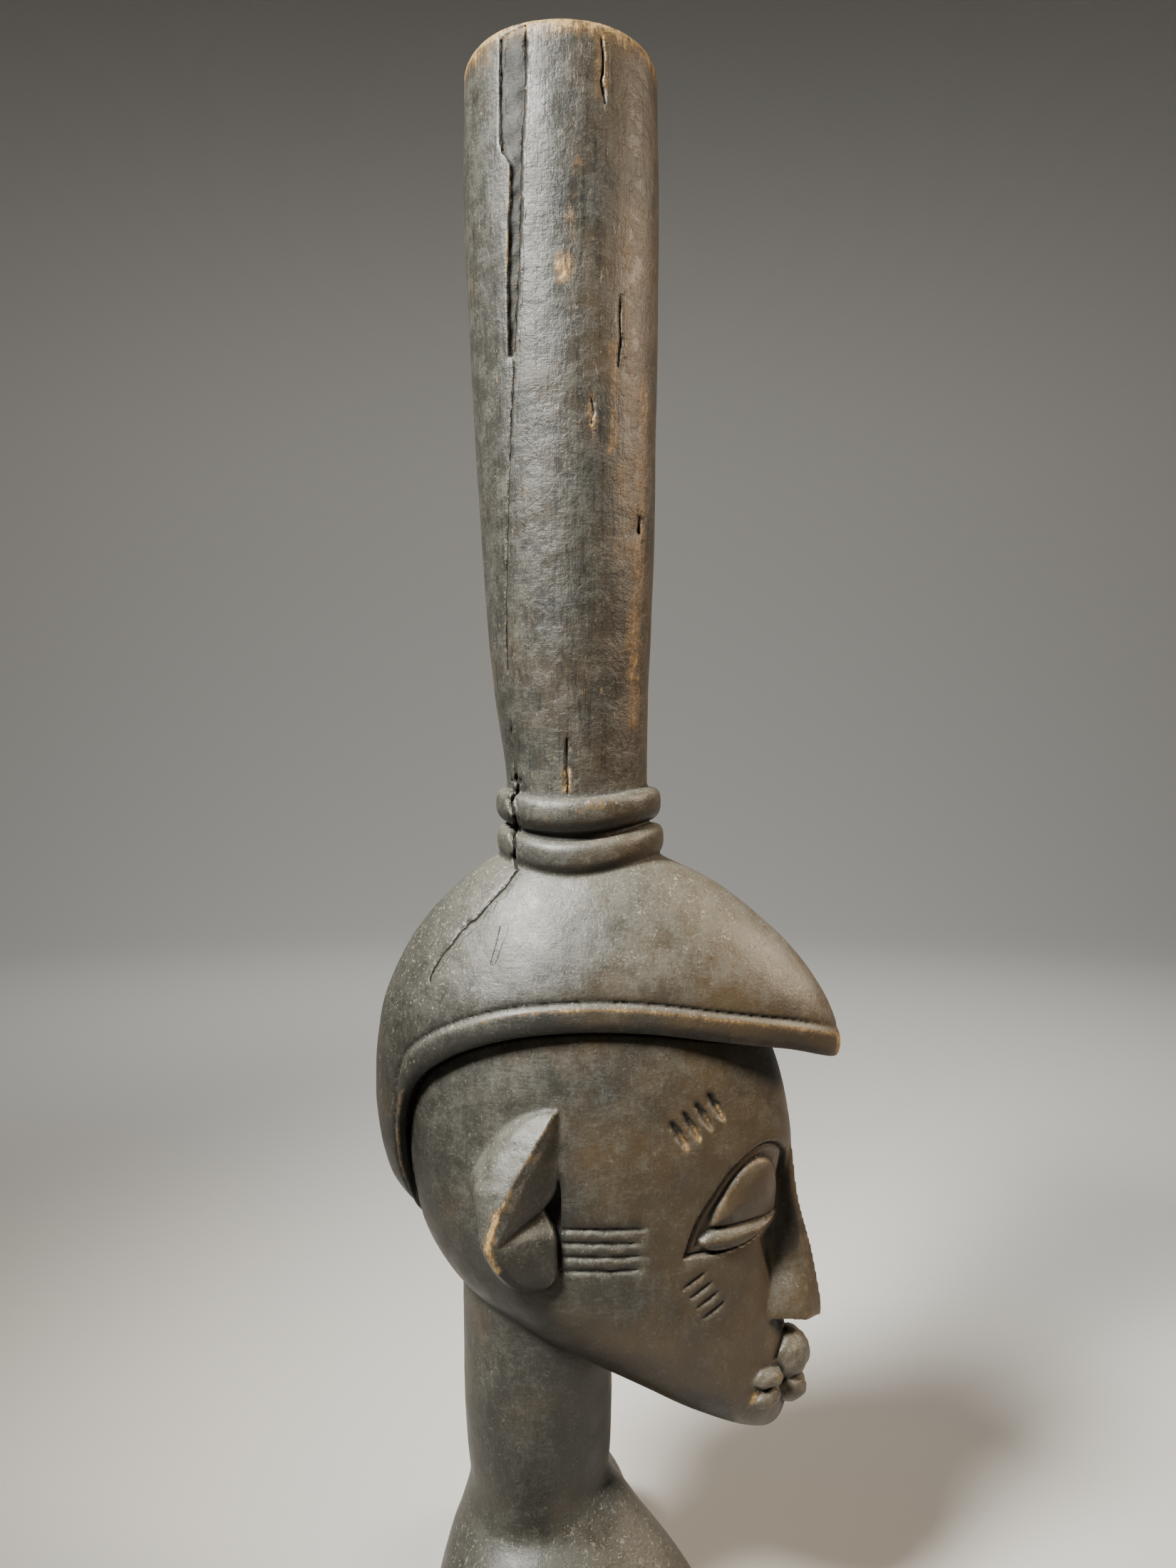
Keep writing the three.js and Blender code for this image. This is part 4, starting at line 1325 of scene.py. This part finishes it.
class CARVING_OT_bust(bpy.types.Operator):
    """Carve the bust with its cap, rings and shaft, and give it its patina"""

    bl_idname = "carving.bust"
    bl_label = "Carve the bust"

    def execute(self, context):
        held = context.scene.carving_sizes
        sizes = {name: getattr(held, name) * 1000 for name in CarvingSizes.__annotations__}
        blocks, points, triangles, quads = carve(sizes)
        piece = bpy.data.objects.new("carved_figure", mesh_from("carved_figure", points, triangles, quads))
        context.scene.collection.objects.link(piece)
        mesh = thinned(piece)
        points = np.empty(len(mesh.vertices) * 3, dtype=np.float32)
        mesh.vertices.foreach_get("co", points)
        points = points.reshape(-1, 3)
        for name, values in surface_amounts(blocks, points, sizes).items():
            attribute = mesh.attributes.new(name, "FLOAT", "POINT")
            attribute.data.foreach_set("value", values.astype(np.float32))
        points = (points + np.array([0, NECK_AXIS_Y, 0])) / 1000
        mesh.vertices.foreach_set("co", points.astype(np.float32).ravel())
        mesh.update()
        mesh.shade_smooth()
        mesh.materials.clear()
        mesh.materials.append(patinated_hardwood(context.scene.carving_colours, held))
        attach(piece, "root")
        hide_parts(NODE)
        return {"FINISHED"}


# The camera looks level at the carving's right side, turned a little towards the face
VIEW_TURN = math.radians(9)
VIEW_DISTANCE = 0.470
VIEW_HEIGHT = 0.3449
VIEW_ASIDE = 0.01995  # to the camera's right of the neck's axis
LENS = 27.0  # mm, on a frame 36 mm tall
LIGHT_SPREAD = math.radians(48)  # grids on the lamps keep their light off the floor near the camera
WORLD_STRENGTH = 0.1

# Name, place from the carving's middle, aim from the neck's foot, size in metres, power in watts, colour and
# spread. A place or aim is given along the view, to its right, and up.
LAMPS = (
    ("key", (-0.62, -0.58, 0.88), (0, 0, 0.42), 0.4, 5.4, 0xFFFFFA, LIGHT_SPREAD),
    ("fill", (0.02, 1.2, 0.6), (0, 0, 0.3), 0.5, 1.6, 0xFFE6C8, LIGHT_SPREAD),
    ("backdrop", (1.0, 0, 1.2), (2.6, 0, 0), 1.0, 26, 0xFFFFFF, math.radians(175)),
)


def add_light(name, place, target, size, power, colour, spread):
    light = bpy.data.lights.new(name, "AREA")
    light.shape = "DISK"
    light.size = size
    light.spread = spread
    light.energy = power
    light.color = linear(colour)[:3]
    lamp = bpy.data.objects.new(name, light)
    lamp.location = place
    lamp.rotation_euler = (Vector(target) - Vector(place)).to_track_quat("-Z", "Y").to_euler()
    bpy.context.scene.collection.objects.link(lamp)


FLOOR_RADIUS = 2.2
SWEEP_RADIUS = 1.4
WALL_HEIGHT = 4.2


def floor_bowl(around=96):
    """The floor just under the underside, swept up into a wall all round, as points and faces."""
    bend = np.linspace(0, math.pi / 2, 13)
    out = [0.02, 0.5, *(FLOOR_RADIUS + SWEEP_RADIUS * np.sin(bend)), FLOOR_RADIUS + SWEEP_RADIUS]
    rise = [0.0, 0.0, *(SWEEP_RADIUS * (1 - np.cos(bend))), WALL_HEIGHT]
    turns = np.linspace(0, 2 * math.pi, around, endpoint=False)
    points = [(r * math.cos(a), r * math.sin(a), h - 0.0005) for r, h in zip(out, rise) for a in turns]
    faces = [tuple(range(around))]
    for level in range(len(out) - 1):
        for k in range(around):
            ahead = (k + 1) % around
            low, high = level * around, (level + 1) * around
            faces.append((low + k, high + k, high + ahead, low + ahead))
    return points, faces


class CARVING_OT_stage(bpy.types.Operator):
    """Lay the floor, hang the lights and place the camera"""

    bl_idname = "carving.stage"
    bl_label = "Set the stage"

    def execute(self, context):
        colours = context.scene.carving_colours
        points, faces = floor_bowl()
        mesh = bpy.data.meshes.new("studio_floor")
        mesh.from_pydata(points, [], faces)
        mesh.shade_smooth()
        mesh.materials.append(studio_floor(colours))
        floor = bpy.data.objects.new("studio_floor", mesh)
        context.scene.collection.objects.link(floor)

        look = Vector((math.cos(VIEW_TURN), math.sin(VIEW_TURN), 0))
        right = Vector((math.sin(VIEW_TURN), -math.cos(VIEW_TURN), 0))
        neck = Vector((0, NECK_AXIS_Y / 1000, 0))
        camera = bpy.data.cameras.new("camera")
        camera.sensor_fit = "VERTICAL"
        camera.sensor_height = 36
        camera.sensor_width = 36
        camera.lens = LENS
        eye = bpy.data.objects.new("camera", camera)
        eye.location = neck - look * VIEW_DISTANCE + right * VIEW_ASIDE + Vector((0, 0, VIEW_HEIGHT))
        eye.rotation_euler = look.to_track_quat("-Z", "Y").to_euler()
        context.scene.collection.objects.link(eye)
        context.scene.camera = eye

        middle = neck + Vector((0, 0, 0.33))
        for name, *ends, size, power, colour, spread in LAMPS:
            place, aim = (look * along + right * aside + Vector((0, 0, up)) for along, aside, up in ends)
            add_light(name, middle + place, neck + aim, size, power, colour, spread)
        world = bpy.data.worlds.new("studio")
        world.use_nodes = True
        world.node_tree.nodes["Background"].inputs["Color"].default_value = linear(0xDADADA)
        world.node_tree.nodes["Background"].inputs["Strength"].default_value = WORLD_STRENGTH
        context.scene.world = world
        return {"FINISHED"}


class CARVING_PT_sidebar(bpy.types.Panel):
    """Sizes and colours of the carving, and the steps that make it"""

    bl_label = "Carving"
    bl_space_type = "VIEW_3D"
    bl_region_type = "UI"
    bl_category = "Carving"

    def draw(self, context):
        for group in (context.scene.carving_sizes, context.scene.carving_colours):
            box = self.layout.box()
            for name in type(group).__annotations__:
                box.prop(group, name)
        for step in STEPS:
            self.layout.operator(step.bl_idname)


STEPS = (CARVING_OT_bust, CARVING_OT_stage)
CLASSES = (CarvingSizes, CarvingColours, *STEPS, CARVING_PT_sidebar)


def register():
    for one in CLASSES:
        bpy.utils.register_class(one)
    bpy.types.Scene.carving_sizes = PointerProperty(type=CarvingSizes)
    bpy.types.Scene.carving_colours = PointerProperty(type=CarvingColours)


def unregister():
    del bpy.types.Scene.carving_colours
    del bpy.types.Scene.carving_sizes
    for one in reversed(CLASSES):
        bpy.utils.unregister_class(one)


def main():
    register()
    bpy.ops.carving.bust()
    bpy.ops.carving.stage()


if __name__ == "__main__":
    main()
